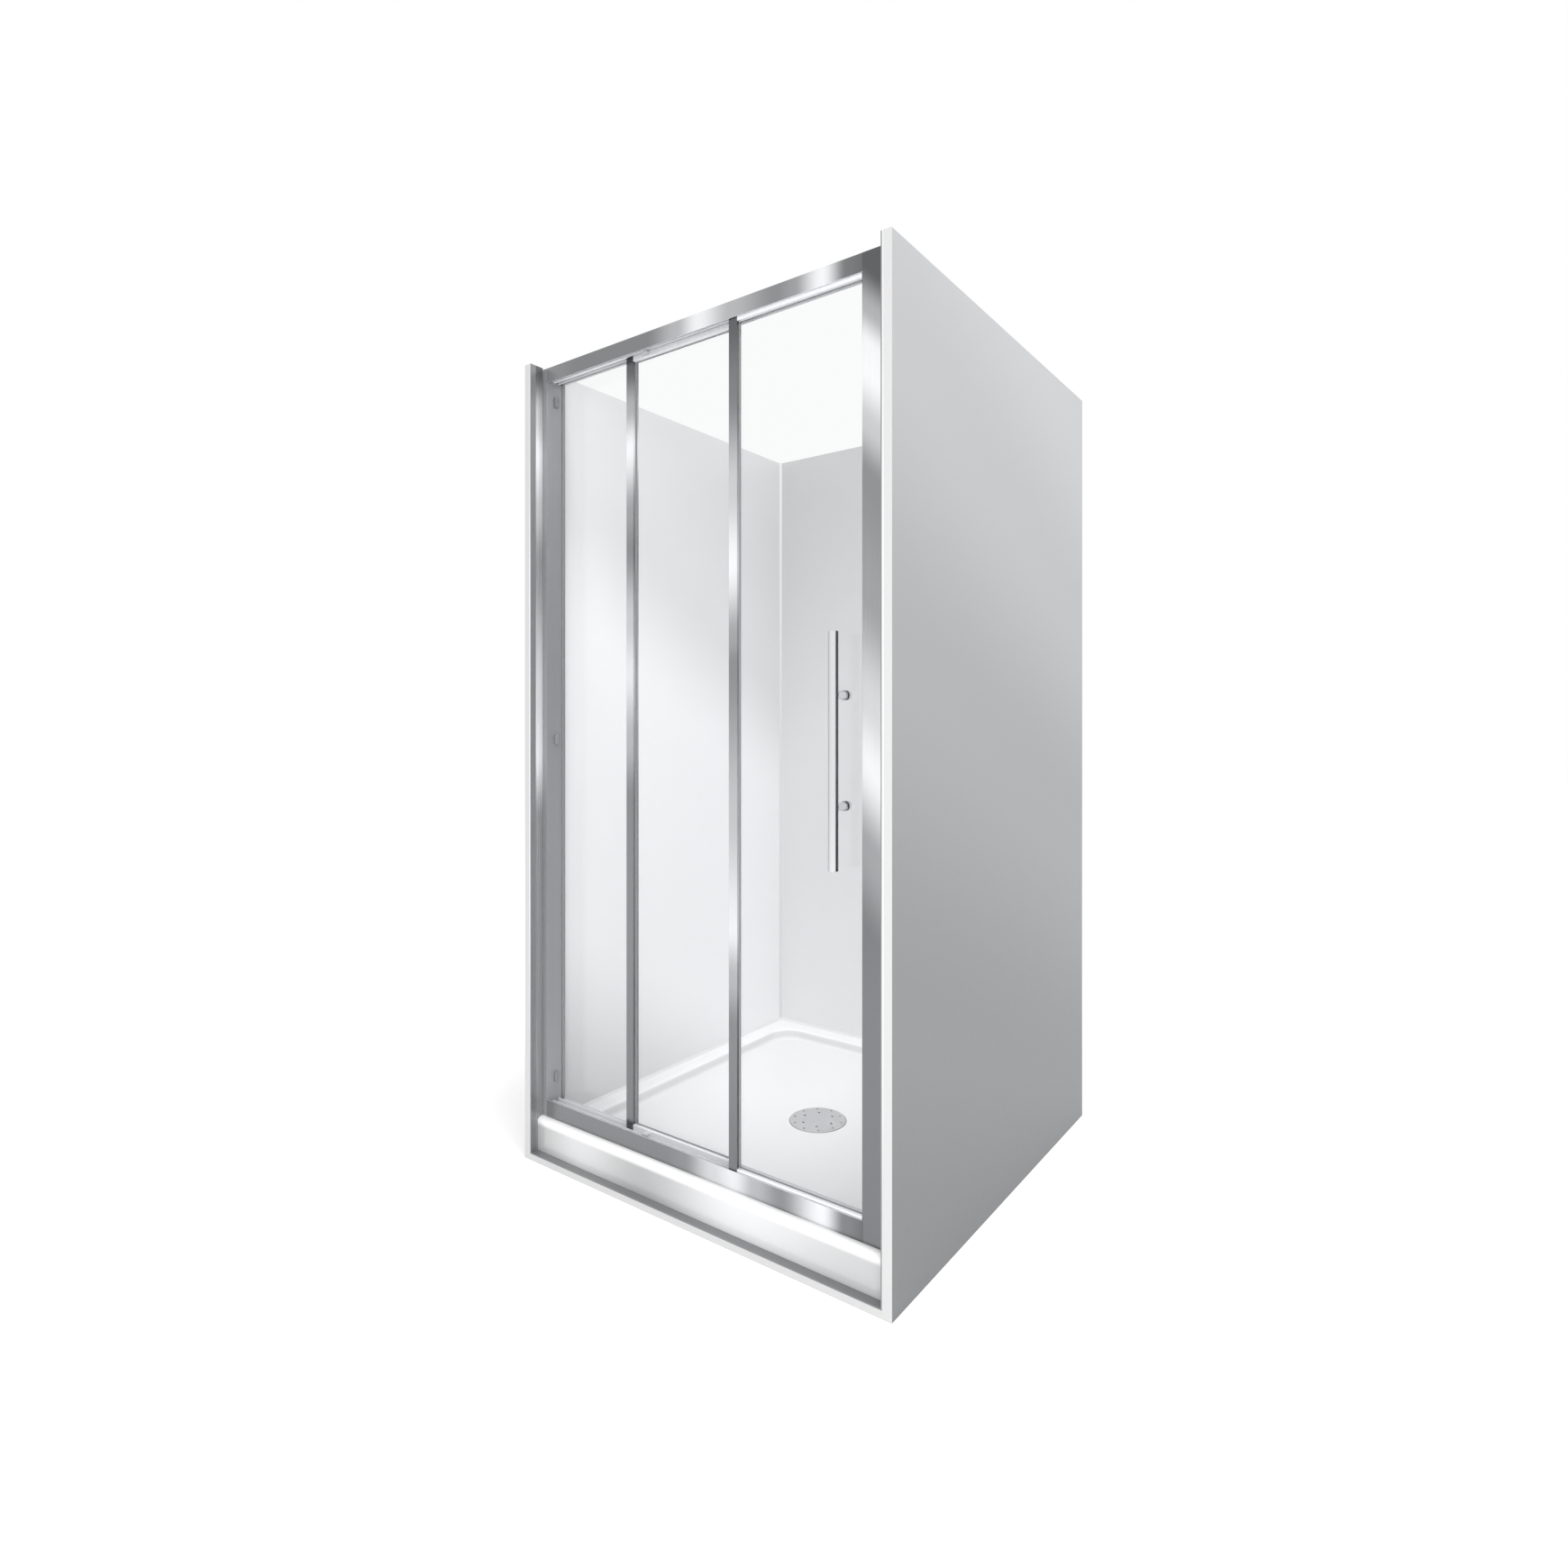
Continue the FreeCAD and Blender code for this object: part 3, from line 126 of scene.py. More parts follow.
# ================================================================ modelling helpers
def deselect():
    """Leave nothing selected, in object mode."""
    if bpy.context.object and bpy.context.object.mode != "OBJECT":
        bpy.ops.object.mode_set(mode="OBJECT")
    bpy.ops.object.select_all(action="DESELECT")


def activate(piece):
    """Make one piece the only selected one."""
    deselect()
    piece.select_set(True)
    bpy.context.view_layer.objects.active = piece


def edit(piece):
    """Open a piece in edit mode with nothing selected."""
    activate(piece)
    bpy.ops.object.mode_set(mode="EDIT")
    bpy.ops.mesh.select_all(action="DESELECT")


def leave_edit():
    bpy.ops.object.mode_set(mode="OBJECT")


def pick(piece, kind, wanted):
    """Select only the verts, edges or faces for which wanted() is true, and count them."""
    bpy.context.tool_settings.mesh_select_mode = (kind == "verts", kind == "edges",
                                                  kind == "faces")
    bpy.ops.mesh.select_all(action="DESELECT")
    mesh = bmesh.from_edit_mesh(piece.data)
    chosen = [element for element in getattr(mesh, kind) if wanted(element)]
    for element in chosen:
        element.select_set(True)
    bmesh.update_edit_mesh(piece.data)
    if not chosen:
        raise RuntimeError(f"{piece.name}: nothing to select")
    return len(chosen)


def near(value, target, slack=0.4 * MILLIMETRE):
    return abs(value - target) < slack


def ends_at(edge, axis, target):
    """Whether both ends of an edge lie at a place along an axis."""
    return all(near(getattr(vert.co, axis), target) for vert in edge.verts)


def level_at(face, height):
    """Whether a face looks up, with its middle at a height."""
    return face.normal.z > LEVEL and near(face.calc_center_median().z, height)


def middle_of(edge):
    return (edge.verts[0].co + edge.verts[1].co) / 2


def add_block(name, low, high):
    """A block between two corners, its place held in its mesh."""
    low, high = Vector(low), Vector(high)
    deselect()
    bpy.ops.mesh.primitive_cube_add(size=1.0, location=(low + high) / 2)
    piece = bpy.context.object
    piece.name = piece.data.name = name
    piece.scale = high - low
    bpy.ops.object.transform_apply()
    return piece


def add_round(name, middle, radius, long, axis, sides=64):
    """A round bar about X, Y or Z, its place held in its mesh."""
    turns = {"X": (0.0, math.radians(90), 0.0), "Y": (math.radians(90), 0.0, 0.0),
             "Z": (0.0, 0.0, 0.0)}
    deselect()
    bpy.ops.mesh.primitive_cylinder_add(vertices=sides, radius=radius, depth=long,
                                        location=middle, rotation=turns[axis])
    piece = bpy.context.object
    piece.name = piece.data.name = name
    bpy.ops.object.transform_apply()
    return piece


def traced(name, node):
    """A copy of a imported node, its loose triangles merged into whole faces."""
    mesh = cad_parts[node].data.copy()
    mesh.name = name
    mesh.materials.clear()
    piece = bpy.data.objects.new(name, mesh)
    bpy.context.scene.collection.objects.link(piece)
    edit(piece)
    bpy.ops.mesh.select_all(action="SELECT")
    bpy.ops.mesh.remove_doubles(threshold=TRIANGLE_GAP)
    bpy.ops.mesh.dissolve_limited(angle_limit=FLAT_ANGLE)
    leave_edit()
    return piece


def round_edges(width, segments, clamp=False):
    """Bevel the selected edges in edit mode."""
    bpy.ops.mesh.bevel(offset=width, segments=segments, profile=0.5, affect="EDGES",
                       clamp_overlap=clamp)


def draw_up(height):
    """Extrude the selection straight up, or down where the height is negative."""
    bpy.ops.mesh.extrude_region_move(TRANSFORM_OT_translate={"value": (0, 0, height)})


def soften_edges(piece, width, longer_than, segments=2, steeper_than=60.0, flush_at=None):
    """Round the sharp straight edges of a piece by a bevel in edit mode.

    Edges at the height flush_at stay sharp, so that a joint there hardly shows.
    """
    edit(piece)
    limit = math.radians(steeper_than)
    pick(piece, "edges", lambda edge: len(edge.link_faces) == 2
         and edge.calc_length() > longer_than and edge.calc_face_angle(0.0) > limit
         and not (flush_at is not None and ends_at(edge, "z", flush_at)))
    round_edges(width, segments, clamp=True)
    # Where two roundings meet, a bevel leaves corners in one place, and faces without area.
    bpy.ops.mesh.select_all(action="SELECT")
    bpy.ops.mesh.remove_doubles(threshold=ROUNDING_GAP)
    leave_edit()


def apply_modifier(piece, kind, **settings):
    """Add one modifier, set it, and apply it."""
    activate(piece)
    modifier = piece.modifiers.new(kind.title(), kind)
    for key, value in settings.items():
        setattr(modifier, key, value)
    bpy.ops.object.modifier_apply(modifier=modifier.name)


def cut_away(piece, tool):
    """Cut a tool out of a piece, and remove the tool."""
    apply_modifier(piece, "BOOLEAN", operation="DIFFERENCE", object=tool, solver="EXACT")
    bpy.data.objects.remove(tool)


def smooth(piece, degrees=35.0):
    """Smooth shading over the rounded edges, with flat faces kept flat."""
    activate(piece)
    bpy.ops.object.shade_smooth_by_angle(angle=math.radians(degrees))
    apply_modifier(piece, "WEIGHTED_NORMAL", keep_sharp=True, weight=90)


def softened(node, name, width, longer_than, smooth_to=35.0, **limits):
    """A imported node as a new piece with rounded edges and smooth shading."""
    piece = traced(name, node)
    soften_edges(piece, width, longer_than, **limits)
    smooth(piece, smooth_to)
    return piece


def join(pieces):
    """Join pieces into the first one."""
    deselect()
    for piece in pieces:
        piece.select_set(True)
    bpy.context.view_layer.objects.active = pieces[0]
    bpy.ops.object.join()
    return pieces[0]


def own_copy(piece):
    """A copy of a piece with a mesh of its own."""
    twin = piece.copy()
    twin.data = piece.data.copy()
    bpy.context.scene.collection.objects.link(twin)
    activate(twin)
    return twin


def shifted_copy(piece, offset):
    """A copy of a piece, moved by an offset."""
    twin = own_copy(piece)
    bpy.ops.transform.translate(value=offset)
    bpy.ops.object.transform_apply()
    return twin


def turned_copy(piece, degrees):
    """A copy of a piece, turned about the upright axis."""
    twin = own_copy(piece)
    bpy.ops.transform.rotate(value=math.radians(degrees), orient_axis="Z",
                             center_override=(0, 0, 0))
    bpy.ops.object.transform_apply()
    return twin


def bay_body(node):
    """The body that carries a node of a glass bay."""
    bay = node.split("_")[0]
    return "root" if bay == "fixed" else bay + "_door"


def set_piece(piece, body, material, slot, *nodes):
    """Give a finished piece its material and its body, and hide the imported nodes it stands for.
    """
    piece.data.materials.clear()
    piece.data.materials.append(material)
    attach(piece, body)
    if nodes:
        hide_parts(*nodes)


def paint_node(node, material):
    """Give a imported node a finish."""
    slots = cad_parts[node].material_slots
    for slot in slots:
        slot.material = material
    if not slots:
        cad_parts[node].data.materials.append(material)


# ================================================================ materials
WHITE = (1.0, 1.0, 1.0, 1.0)
# How much bluer than grey the metal and the boards are, and the white sheets.
METAL_COOL, SHEET_COOL = 0.008, 0.004
# Places of the colours among the sockets of a mix node.
FIRST_COLOUR, SECOND_COLOUR, MIXED_COLOUR = 6, 7, 2


def shade(level):
    """A grey as a screen shows it, from 0 to 1, made linear."""
    return level / 12.92 if level <= 0.04045 else ((level + 0.055) / 1.055) ** 2.4


def grey(level, cool=0.0):
    """A linear grey colour, a little bluer as cool rises."""
    return (shade(level - cool), shade(level - cool * 0.5), shade(level + cool * 0.5), 1.0)


def start_material(name):
    """A material with its node tree and its main shader."""
    material = bpy.data.materials.new(name)
    material.use_nodes = True
    tree = material.node_tree
    return material, tree, tree.nodes["Principled BSDF"]


def feed(tree, node, inputs):
    """Give inputs of a node their values, or the sockets that they follow."""
    for key, value in inputs.items():
        if isinstance(value, bpy.types.NodeSocket):
            tree.links.new(value, node.inputs[key])
        else:
            node.inputs[key].default_value = value


def add_node(tree, kind, inputs, **settings):
    """A new node with its settings and its inputs."""
    node = tree.nodes.new(kind)
    for key, value in settings.items():
        setattr(node, key, value)
    feed(tree, node, inputs)
    return node


def object_place(tree, scale=(1.0, 1.0, 1.0)):
    """The point on the piece, in metres, stretched by a scale."""
    place = tree.nodes.new("ShaderNodeTexCoord").outputs["Object"]
    return add_node(tree, "ShaderNodeMapping", {"Vector": place, "Scale": scale}).outputs[0]


def along(tree, direction, start, end):
    """How far a point lies along a direction, from 0 at start to 1 at end."""
    dot = add_node(tree, "ShaderNodeVectorMath", {0: object_place(tree), 1: direction},
                   operation="DOT_PRODUCT").outputs["Value"]
    return add_node(tree, "ShaderNodeMapRange",
                    {"Value": dot, "From Min": start, "From Max": end}).outputs["Result"]


def behind(tree, front, skin):
    """How far a point lies behind a front face, from 0 to 1 through a skin there."""
    return along(tree, BACK, front + skin[0], front + skin[1])


def between(tree, factor, low, high):
    """A number from low to high that follows a factor."""
    return add_node(tree, "ShaderNodeMapRange",
                    {"Value": factor, "To Min": low, "To Max": high}).outputs["Result"]


def combine(tree, operation, first, second):
    """The result of a math node for two numbers or sockets."""
    return add_node(tree, "ShaderNodeMath", {0: first, 1: second},
                    operation=operation).outputs["Value"]


def ramp(tree, factor, stops, cool=0.0):
    """A grey scale along a factor; stops are (place, tone from 0 to 1)."""
    start, end = stops[0][0], stops[-1][0]
    scale = tree.nodes.new("ShaderNodeValToRGB")
    scale.color_ramp.interpolation = "EASE"
    elements = scale.color_ramp.elements
    while len(elements) < len(stops):
        elements.new(0.5)
    for element, (place, tone) in zip(elements, stops):
        element.position = (place - start) / (end - start)
        element.color = grey(tone, cool)
    tree.links.new(factor, scale.inputs["Fac"])
    return scale.outputs["Color"]


def bands_along(tree, direction, stops, cool):
    """A grey scale along a direction; stops are (place in metres, tone from 0 to 1)."""
    return ramp(tree, along(tree, direction, stops[0][0], stops[-1][0]), stops, cool)


def noise(tree, vector, scale, detail=3.0, roughness=0.5):
    """Soft random spots, their number per metre given by scale."""
    return add_node(tree, "ShaderNodeTexNoise", {
        "Vector": vector, "Scale": scale, "Detail": detail,
        "Roughness": roughness}).outputs["Fac"]


def drawn_lines(tree, direction, long=4.0, fine=900.0):
    """Fine lines along a direction, as rolling or drawing leaves them on metal."""
    squeeze = tuple(long if part else fine for part in direction)
    return noise(tree, object_place(tree, squeeze), 1.0, detail=2.0)


def mixed(tree, blend, factor, first, second):
    """Two colours mixed by a factor."""
    return add_node(tree, "ShaderNodeMix",
                    {"Factor": factor, FIRST_COLOUR: first, SECOND_COLOUR: second},
                    data_type="RGBA", blend_type=blend).outputs[MIXED_COLOUR]


def tinted(tree, colour, factor):
    """A colour darkened by a number."""
    return mixed(tree, "MULTIPLY", 1.0, colour, factor)


def choose(tree, factor, first, second):
    """The first colour where the factor is 0, the second where it is 1."""
    return mixed(tree, "MIX", factor, first, second)


def vary(tree, shader, colour, factor, darkest, roughness):
    """Colour a shader, and let its tone and its roughness follow a factor."""
    feed(tree, shader, {
        "Base Color": tinted(tree, colour, between(tree, factor, darkest, 1.0)),
        "Roughness": between(tree, factor, *roughness)})


def raise_bump(tree, shader, height, strength, distance):
    """Let a height bend the light on a shader's surface."""
    bump = add_node(tree, "ShaderNodeBump",
                    {"Height": height, "Strength": strength, "Distance": distance})
    feed(tree, shader, {"Normal": bump.outputs["Normal"]})


def blend_shaders(tree, factor, first, second):
    """Show the first shader where the factor is 0, the second where it is 1."""
    mix = add_node(tree, "ShaderNodeMixShader", {"Fac": factor, 1: first, 2: second})
    feed(tree, tree.nodes["Material Output"], {"Surface": mix.outputs["Shader"]})


def plain_finish(name, colour, roughness, grain_scale=400.0, grain=0.06, metallic=0.0,
                 bump=0.00004):
    """A moulded or plated finish: one colour with a fine grain and a slight bump."""
    material, tree, shader = start_material(name)
    fine = noise(tree, object_place(tree), grain_scale)
    feed(tree, shader, {"Metallic": metallic})
    vary(tree, shader, (*colour, 1.0), fine, darkest=1.0 - grain,
         roughness=(roughness * 0.85, roughness * 1.15))
    raise_bump(tree, shader, fine, 0.4, bump)
    return material


# Painted shade and sheen on the flat sheets along a slope, as (place in metres, tone from 0 to
# 1).
# The boards' outer faces: painted shade, darker towards the bottom.
BOARD_SLOPE = (0.0, 0.375, 0.927)
BOARD_SHADE_TONES = [(-0.1, 0.49), (0.3, 0.54), (0.9, 0.65), (1.4, 0.74), (1.85, 0.8)]
# The side liners: a diagonal band of painted sheen.
SIDE_SLOPE = (0.0, 0.5, 0.866)
SIDE_LINER_SHEEN_TONES = [(-0.1, 0.85), (0.28, 0.99), (0.9, 1.0), (1.25, 0.9), (1.65, 0.86)]
# The back liner: painted shade, darker towards the top.
BACK_SLOPE = (-0.438, 0.0, 0.899)
BACK_LINER_SHADE_TONES = [(0.15, 0.94), (0.9, 0.9), (1.85, 0.79)]
# The apron: light and dark bands of painted reflection.
APRON_REFLECTION_TONES = [(-0.48, 0.745), (-0.33, 0.87), (-0.13, 0.71), (0.14, 0.915), (0.45, 0.785)]

# The same for the polished metal along its length. Where a list has light and dark bands, they
# are painted reflections; the flat darker greys of the left jamb and the base trim are painted
# shade.
HEADER_REFLECTION_TONES = [(-0.47, 0.53), (-0.13, 0.54), (-0.04, 0.74), (0.02, 0.97), (0.11, 0.74),
                (0.225, 0.58), (0.265, 0.64), (0.331, 0.99), (0.385, 0.5), (0.45, 0.42)]
SILL_REFLECTION_TONES = [(-0.47, 0.5), (-0.08, 0.5), (-0.02, 0.535), (0.06, 0.78), (0.115, 0.86),
              (0.17, 0.675), (0.235, 0.53), (0.331, 0.885), (0.38, 0.485), (0.45, 0.36)]
RIGHT_JAMB_REFLECTION_TONES = [(0.095, 0.465), (0.64, 0.48), (0.8, 0.645), (0.95, 0.98),
                    (1.06, 0.87), (1.25, 0.655), (1.47, 0.59), (1.56, 0.82),
                    (1.65, 1.0), (1.7, 0.99), (1.765, 0.72), (1.84, 0.4)]
FRONT_STILE_REFLECTION_TONES = [(0.116, 0.46), (0.42, 0.51), (0.52, 0.67), (0.62, 0.89),
                     (0.85, 0.78), (1.15, 0.59), (1.2, 0.67), (1.35, 1.0),
                     (1.5, 0.83), (1.7, 0.53), (1.846, 0.41)]
REAR_STILE_REFLECTION_TONES = [(0.116, 0.475), (0.86, 0.56), (1.0, 0.75), (1.14, 0.94),
                    (1.26, 0.82), (1.42, 0.58), (1.5, 0.66), (1.645, 1.0),
                    (1.73, 0.72), (1.82, 0.42)]
JAMB_FACE_X = 0.437
LEFT_TRIM_REFLECTION_TONES = [(0.0, 0.64), (0.8, 0.64), (0.96, 1.0), (1.09, 0.94),
                   (1.42, 0.67), (1.54, 0.85), (1.67, 1.0), (1.76, 0.82),
                   (1.87, 0.4)]
# The left jamb's flat grey, also on the wall channels, is painted shade.
LEFT_JAMB_SHADE_TONES = [(0.095, 0.65), (0.7, 0.62), (1.15, 0.605), (1.5, 0.625), (1.88, 0.63)]
# The base trim's flat darker grey is painted shade.
BASE_TRIM_SHADE_TONES = [(-0.48, 0.55), (0.0, 0.55), (0.48, 0.53)]
RAIL_TONES = [(-0.47, 0.95), (0.45, 0.97)]
POST_TONES = [(0.7, 0.93), (1.3, 0.95)]
# The same across the pull bar, from its axis: a painted highlight on one side and a painted dark
# stripe of shade on the other.
BAR_SLOPE = (0.832, 0.555, 0.0)
BAR_LIGHT_AND_SHADE_TONES = [(-0.0095, 0.74), (-0.008, 0.8), (-0.003, 0.88), (0.004, 0.87),
             (0.0055, 0.42), (0.0095, 0.4)]

# Painted shade up the basin's wall, from 0 at its foot to 1 at its rim: a darker band where the
# ledge steps down to the floor.
BASIN_SHADE_TONES = [(0.0, 0.94), (0.35, 0.87), (0.75, 0.89), (1.0, 0.975)]
# Depths under the tray's top: the foot and the rim of that wall, the upper end of the apron's
# painted reflection bands, and the lower end of the white lip.
BASIN_FOOT, BASIN_RIM, BANDS_UNDER, LIP_OVER = 0.047, 0.026, 0.02, 0.012
# Depths behind a front face over which its own finish ends.
APRON_SKIN, BOARD_SKIN, METAL_SKIN = (0.002, 0.003), (0.0004, 0.0008), (0.0003, 0.0006)
# Behind the side trims' front, the depths over which their painted shade gives way to painted
# reflection bands.
TRIM_SHADE_DEPTH = (0.0135, 0.0155)
# The same under the header's top face, and where a bar's left end starts to mirror less.
LID_SKIN, LEFT_END = (0.0006, 0.0009), (0.36, 0.45)
INNER_TONE, INNER_METALLIC = 0.98, 0.15
# The side trims' front half is painted shade in the second of these tones.
CUT_EDGE_TONE, TRIM_SHADE_TONE, GRATE_TONE = 0.83, 0.57, 0.88
LINE_TONE = 0.94


def leaning(stops):
    """The right jamb's tones for painted reflection bands that fall to the right at 45 degrees.
    """
    return [(place + JAMB_FACE_X, tone) for place, tone in stops]


def polished_metal(name, direction, stops, roughness=0.24, metallic=1.0, front=None, lid=None,
                   drawn=None):
    """Bright rolled metal: light and dark bands of painted reflection along a direction, and fine
    drawing lines.

    The lines run along the same direction, or along drawn where that is given.
    With front, a place along Y in metres, the bands stay on the face before it, and on the
    top face where lid gives its height; what lies deeper is plain bright metal, and both that
    and the left end mirror less.
    """
    material, tree, shader = start_material(name)
    # The bands are painted reflections.
    bands = bands_along(tree, direction, stops, METAL_COOL)
    if front is not None:
        depth = behind(tree, front, METAL_SKIN)
        if lid is not None:
            below = along(tree, (0, 0, -1), LID_SKIN[0] - lid, LID_SKIN[1] - lid)
            depth = combine(tree, "MINIMUM", depth, below)
        bands = choose(tree, depth, bands, grey(INNER_TONE, METAL_COOL))
        duller = combine(tree, "MAXIMUM", depth, along(tree, (-1, 0, 0), *LEFT_END))
        metallic = between(tree, duller, metallic, INNER_METALLIC)
    feed(tree, shader, {"Metallic": metallic})
    lines = drawn_lines(tree, drawn or direction)
    vary(tree, shader, bands, lines, LINE_TONE, (roughness * 0.8, roughness * 1.25))
    raise_bump(tree, shader, lines, 0.04, 0.00002)
    return material


def edge_trim_metal():
    """Trim beside the frame: a front half darkened by painted shade, and a bright half next to
    the jamb with painted reflection bands.
    """
    material, tree, shader = start_material("edge_trim_metal")
    # Painted reflection bands up the trim, and painted shade on its front half, inside the
    # recess.
    bright = bands_along(tree, UP, LEFT_TRIM_REFLECTION_TONES, METAL_COOL)
    depth = behind(tree, FRONT_Y, TRIM_SHADE_DEPTH)
    colour = choose(tree, depth, grey(TRIM_SHADE_TONE, METAL_COOL), bright)
    feed(tree, shader, {"Metallic": 0.4})
    vary(tree, shader, colour, drawn_lines(tree, UP), LINE_TONE, roughness=(0.20, 0.32))
    return material


def board_finish():
    """Wall board: grey outer faces with painted shade that darkens them towards the bottom, and
    near-white cut edges.
    """
    material, tree, shader = start_material("wall_board")
    # Painted shade: the outer faces grow darker towards the bottom.
    face = bands_along(tree, BOARD_SLOPE, BOARD_SHADE_TONES, METAL_COOL)
    colour = choose(tree, behind(tree, FRONT_Y, BOARD_SKIN), grey(CUT_EDGE_TONE), face)
    mottle = noise(tree, object_place(tree), 60.0, detail=5.0, roughness=0.6)
    vary(tree, shader, colour, mottle, darkest=0.985, roughness=(0.42, 0.55))
    raise_bump(tree, shader, mottle, 0.15, 0.0001)
    return material


def liner_finish(name, direction, stops):
    """Glossy white wall sheet, with soft broad painted sheen and shade along one direction."""
    material, tree, shader = start_material(name)
    wave = noise(tree, object_place(tree), 9.0, detail=2.0)
    vary(tree, shader, bands_along(tree, direction, stops, SHEET_COOL), wave, darkest=0.99,
         roughness=(0.16, 0.22))
    raise_bump(tree, shader, wave, 0.05, 0.0004)
    return material


def acrylic_finish(colour):
    """Glossy white moulded acrylic, hardly wavy, with painted reflection bands on the apron and
    painted shade on the basin's wall.
    """
    material, tree, shader = start_material("tray_acrylic")
    top = TRAY_HIGH.z
    white = (*colour, 1.0)
    # Painted reflection bands on the apron, below its white lip.
    bands = bands_along(tree, RIGHT, APRON_REFLECTION_TONES, SHEET_COOL)
    lip = along(tree, UP, top - BANDS_UNDER, top - LIP_OVER)
    # Painted shade on the basin's wall, where the ledge steps down to the floor.
    wall = ramp(tree, along(tree, UP, top - BASIN_FOOT, top - BASIN_RIM), BASIN_SHADE_TONES)
    depth = behind(tree, TRAY_LOW.y, APRON_SKIN)
    toned = choose(tree, depth, choose(tree, lip, bands, white), tinted(tree, white, wall))
    wave = noise(tree, object_place(tree), 7.0, detail=2.0)
    feed(tree, shader, {"Coat Weight": 0.3})
    vary(tree, shader, toned, wave, darkest=0.985, roughness=(0.10, 0.16))
    raise_bump(tree, shader, wave, 0.04, 0.0004)
    return material


def glass_finish(colour):
    """Clear pane: light passes straight through, and glancing views reflect."""
    material, tree, shader = start_material("clear_glass")
    tree.nodes.remove(shader)
    clear = add_node(tree, "ShaderNodeBsdfTransparent", {"Color": (*colour, 1.0)})
    gloss = add_node(tree, "ShaderNodeBsdfGlossy", {"Color": WHITE, "Roughness": 0.02})
    facing = tree.nodes.new("ShaderNodeLayerWeight").outputs["Facing"]
    steepness, least, most = 5.0, 0.02, 0.6
    mirror = between(tree, combine(tree, "POWER", facing, steepness), least, most)
    blend_shaders(tree, mirror, clear.outputs["BSDF"], gloss.outputs["BSDF"])
    return material


def grate_finish():
    """Satin steel with fine rings, as turned."""
    material, tree, shader = start_material("grate_metal")
    rings = add_node(tree, "ShaderNodeTexWave",
                     {"Vector": object_place(tree), "Scale": 260.0, "Distortion": 0.6},
                     wave_type="RINGS", rings_direction="Z").outputs["Fac"]
    toned = tinted(tree, grey(GRATE_TONE, 0.002), between(tree, rings, 0.92, 1.0))
    feed(tree, shader, {"Base Color": toned, "Metallic": 1.0, "Roughness": 0.34})
    raise_bump(tree, shader, rings, 0.15, 0.00003)
    return material


# ================================================================ operators
class SHOWER_OT_walls(bpy.types.Operator):
    """Dress the wall boards and the base board"""

    bl_idname = "shower.walls"
    bl_label = "Walls and base"

    def execute(self, context):
        sizes = context.scene.shower_sizes
        # Outer faces with painted shade, darker towards the bottom.
        finish = board_finish()
        for node in ("right_wall_board", "left_wall_board", "back_wall_board", "base_board"):
            piece = softened(node, node.replace("_board", "_panel"), sizes.board_edge,
                             longer_than=0.1, flush_at=BASE_HIGH.z)
            set_piece(piece, "root", finish, "board", node)
        return {"FINISHED"}


class SHOWER_OT_liners(bpy.types.Operator):
    """Dress the glossy liners and the sealant"""

    bl_idname = "shower.liners"
    bl_label = "Liners and sealant"

    def execute(self, context):
        colours = context.scene.shower_colours
        sizes = context.scene.shower_sizes
        # Painted sheen on the side sheets, and painted shade on the back sheet.
        side = liner_finish("side_liner", SIDE_SLOPE, SIDE_LINER_SHEEN_TONES)
        back = liner_finish("back_liner", BACK_SLOPE, BACK_LINER_SHADE_TONES)
        for node, finish in (("right_wall_liner", side), ("left_wall_liner", side),
                             ("back_wall_liner", back)):
            piece = softened(node, node.replace("_liner", "_sheet"), sizes.metal_edge,
                             longer_than=0.02)
            set_piece(piece, "root", finish, "liner", node)
        paint_node("sealant_beads", plain_finish("silicone", colours.silicone, 0.35))
        return {"FINISHED"}


